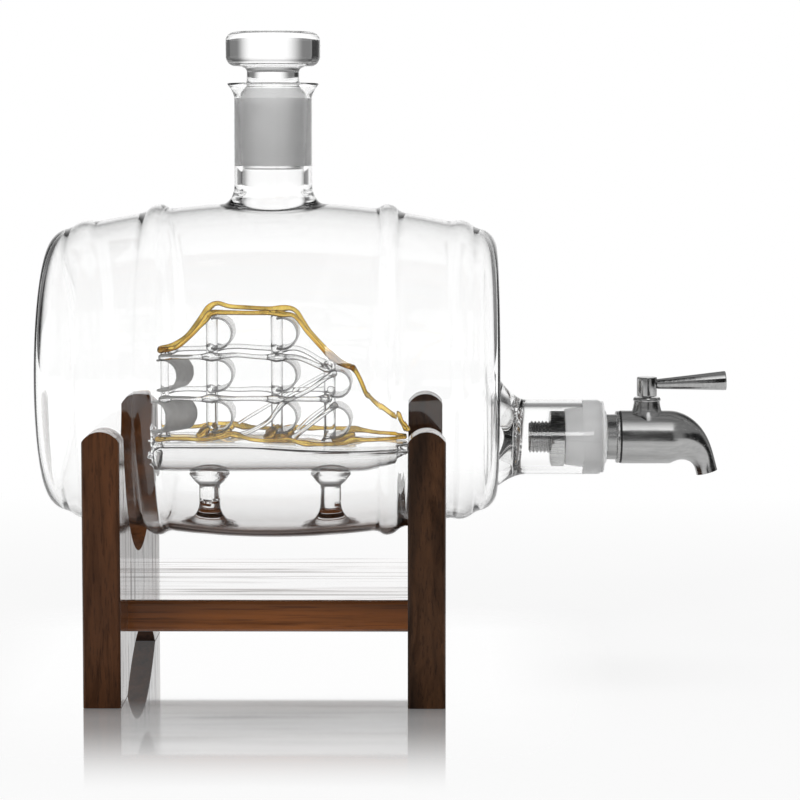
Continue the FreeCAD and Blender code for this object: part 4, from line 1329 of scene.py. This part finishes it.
def stand():
    cad_finish("left_upright", walnut(
        "walnut_left", scale=(300.0, 300.0, 30.0), turn=(0.02, 0.05, 0.0), seed=1.3,
        tint=(0.108, 0.040, 0.014), contrast=0.4, polish=2.6, underside=0.15, gleam=0.78))
    cad_finish("right_upright", walnut(
        "walnut_right", scale=(320.0, 320.0, 60.0), turn=(0.0, 0.5, 0.1), seed=5.1,
        tint=(0.058, 0.024, 0.009), contrast=0.9, polish=2.6, underside=0.15, gleam=0.78))
    cad_finish("shelf", walnut(
        "walnut_shelf", scale=(8.0, 300.0, 300.0), turn=(0.03, 0.0, 0.04), seed=9.7,
        tint=(0.195, 0.062, 0.012), contrast=0.8, polish=1.3, underside=0.6, gleam=1.2))
    cad_finish("shelf_dowels", dowel_wood())


# Stage, light and camera

camera_height = 183.4
camera_ahead = 47.51
camera_distance = 853.85
camera_pitch = 4.0
camera_turn = 0.006
camera_lens = 114.74
camera_shift = -0.121
lamp_target = (0, 0, 90)
floor_z = -0.2
backdrop_y = 2000
side_flag_x = 950
tap_card_y = -900
tap_card_end = 340

# Share of light that the glass walls mirror away, given back to the paper seen through them
THROUGH_GLASS = 0.13
ROOM_LEVEL = 0.3
ROOM_THROUGH_GLASS = 0.13
FLOOR_IN_METAL = 0.2
FLOOR_NEAR_LEVEL = 0.82

# Places in metres on the paper, which dims, and on the floor, which mirrors the stand
paper_middle = 0.02
paper_bright = 0.42
paper_dim = 1.30
paper_dim_level = 0.20
stand_middle = -0.04
mirror_front = (-0.165, -0.075)
mirror_under = (-0.075, -0.05)
mirror_sides = (0.075, 0.115)
mirror_back = (0.065, 0.11)
floor_far = (0.16, 0.40)
panel_heights = (0.6, 1.0)


def camera():
    data = bpy.data.cameras.new("view")
    data.lens = camera_lens
    data.sensor_width = 36.0
    data.shift_y = camera_shift
    data.clip_end = 20.0
    seen = bpy.data.objects.new("view", data)
    seen.location = Vector((barrel_x + camera_ahead, -camera_distance, camera_height)) * MM
    seen.rotation_euler = (math.radians(90 - camera_pitch), 0, camera_turn)
    bpy.context.collection.objects.link(seen)
    bpy.context.scene.camera = seen


def white_through(shader):
    """Strength of white paper: one, and a little more where it is seen through glass."""
    return shader.math("ADD", shader.times(shader.ray("Transmission"), THROUGH_GLASS), 1.0)


def backdrop_paper():
    """White paper behind the object, evenly lit in the middle and falling off towards its far edges."""
    shader = Shader("backdrop_paper")
    place = shader.parts(shader.place())
    level = white_through(shader)
    for away in (shader.math("ABSOLUTE", shader.math("SUBTRACT", place["X"], paper_middle)), place["Z"]):
        level = shader.times(level, shader.mapped(
            away, paper_bright, paper_dim, 1.0, paper_dim_level, "SMOOTHSTEP"))
    return shader.surface(shader.emission(shader.math("MAXIMUM", level, shader.ray("Camera"))))


def flag_cloth():
    """Matt black cloth on the flags that draw dark edges on the glass."""
    shader = Shader("flag_cloth")
    tone = shader.ramp(shader.noise(300.0, 2.0, 0.55), [(0.3, 0.008), (0.7, 0.02)])
    return shader.surface(shader.principled(Base_Color=tone, Roughness=0.9))


def soft_panel(name, low, high):
    """A lit panel that the steel mirrors, its level changing with height."""
    shader = Shader(name)
    height = shader.parts(shader.place())["Z"]
    return shader.surface(shader.emission(shader.mapped(height, *panel_heights, low, high)))


def floor_sheet():
    """Glossy white sheet: white to the camera, with a mirrored image of the stand that fades to the front."""
    shader = Shader("floor_sheet")
    place = shader.parts(shader.place())
    beside = shader.math("ABSOLUTE", shader.math("SUBTRACT", place["X"], stand_middle))
    depth = shader.math("ABSOLUTE", place["Y"])
    front = shader.mapped(place["Y"], *mirror_front, 0.0, 0.76, "SMOOTHSTEP")
    gloss = shader.math("ADD", front, shader.mapped(place["Y"], *mirror_under, 0.0, 0.17))
    gloss = shader.times(gloss, shader.mapped(beside, *mirror_sides, 1.0, 0.0))
    gloss = shader.times(gloss, shader.mapped(place["Y"], *mirror_back, 1.0, 0.0))
    gloss = shader.times(gloss, shader.mapped(shader.facing(), 0.2, 0.7, 0.2, 1.0))
    shown = shader.math("MAXIMUM", shader.ray("Camera"), shader.ray("Transmission"))
    shown = shader.math("MAXIMUM", shown, shader.times(shader.ray("Glossy"), FLOOR_IN_METAL))
    far = [shader.mapped(away, *floor_far, FLOOR_NEAR_LEVEL, 1.0) for away in (beside, depth)]
    shown = shader.times(shown, shader.math("MAXIMUM", *far))
    chalk = shader.node("ShaderNodeBsdfDiffuse", {"Color": grey(0.93)}).outputs[0]
    mirror = shader.node("ShaderNodeBsdfGlossy", {"Color": grey(1.0), "Roughness": 0.05}).outputs[0]
    plain = shader.mix(shown, chalk, shader.emission(white_through(shader)))
    return shader.surface(shader.mix(gloss, plain, mirror))


def card(name, low, high, material):
    """A flat stage card between two opposite corners in mm, level along x, or along y if it faces along x."""
    low, high = Vector(low), Vector(high)
    across = X_AXIS * (high.x - low.x) if high.x > low.x else Y_AXIS * (high.y - low.y)
    corners = [low, low + across, high, high - across]
    mesh = bpy.data.meshes.new(name)
    mesh.from_pydata([corner * MM for corner in corners], [], [[0, 1, 2, 3]])
    mesh.materials.append(material)
    made = bpy.data.objects.new(name, mesh)
    bpy.context.collection.objects.link(made)
    made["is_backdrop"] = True
    return made


def flag(name, low, high, material, pieces=()):
    """A card off the picture, seen only in glass and metal, or by some pieces alone."""
    made = card(name, low, high, material)
    made.visible_camera = False
    if pieces:
        group = bpy.data.collections.new(name + "_pieces")
        for piece in pieces:
            group.objects.link(piece)
        made.light_linking.receiver_collection = group
    return made


def room():
    """The world: white to the camera, dim to other rays and darker through glass, which draws its edges."""
    world = bpy.data.worlds.new("room")
    bpy.context.scene.world = world
    world.use_nodes = True
    nodes = Nodes(world.node_tree)
    color = grey(ROOM_LEVEL)
    for ray, level in (("Transmission", ROOM_THROUGH_GLASS), ("Camera", 1.0)):
        color = nodes.node("ShaderNodeMix", data_type="RGBA", inputs={
            "Factor": nodes.ray(ray), "A": color, "B": grey(level)}).outputs["Result"]
    nodes.tree.links.new(color, nodes.tree.nodes["Background"].inputs["Color"])


def stage(glass, in_tube, outside):
    """Floor, backdrop, black flags beside the glass, and the flags and panels that the tap mirrors."""
    card("floor", (-2600, -2000, floor_z), (2600, backdrop_y + 10, floor_z), floor_sheet())
    card("backdrop", (-2470, backdrop_y, floor_z), (2470, backdrop_y, 2580), backdrop_paper())
    black = flag_cloth()
    flag("left_flag", (-side_flag_x, -150, 150), (-side_flag_x, 880, 500), black)
    flag("right_flag", (side_flag_x, -800, 0), (side_flag_x, 250, 420), black)
    flag("roof_flag", (-900, -900, 1250), (60, 0, 1250), black)
    strip = soft_panel("strip_panel", 5.5, 5.5)
    flag("tap_strip", (74, tap_card_y, 250), (138, tap_card_y, 440), strip, [glass] + in_tube)
    flag("tap_flag", (142, tap_card_y, 0), (tap_card_end, tap_card_y, 590), black)
    ground = flag("tap_ground", (96, tap_card_y, 1), (tap_card_end, -330, 1), black)
    ground.visible_shadow = False
    ground.visible_diffuse = False
    roof = soft_panel("roof_panel", 1.9, 0.5)
    flag("tap_roof", (60, -740, 600), (tap_card_end, -250, 1000), roof, in_tube + outside)
    room()


def lamp(name, place, width, height, power):
    """A soft lamp aimed at the middle of the object, not seen in glass or metal."""
    data = bpy.data.lights.new(name, "AREA")
    data.shape = "RECTANGLE"
    data.size = width * MM
    data.size_y = height * MM
    data.energy = power
    made = bpy.data.objects.new(name, data)
    made.location = Vector(place) * MM
    made.rotation_euler = (Vector(lamp_target) - Vector(place)).to_track_quat("-Z", "Y").to_euler()
    made.visible_glossy = False
    made.visible_transmission = False
    bpy.context.collection.objects.link(made)


clear = clear_glass()
ground = ground_glass()
glass = glass_body(clear, ground)
stopper(clear, ground)
ship(clear, gold_lustre())
in_tube, outside = tap()
stand()
stage(glass, in_tube, outside)
lamp("key_left", (-620, -520, 620), 420, 420, 3.0)
lamp("fill_right", (680, -420, 380), 380, 480, 1.6)
lamp("top_soft", (0, 80, 900), 700, 500, 3.0)
camera()
bpy.context.scene.view_settings.view_transform = "Standard"

size_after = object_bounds()
[[list(corner) for corner in size] for size in (size_before, size_after)]
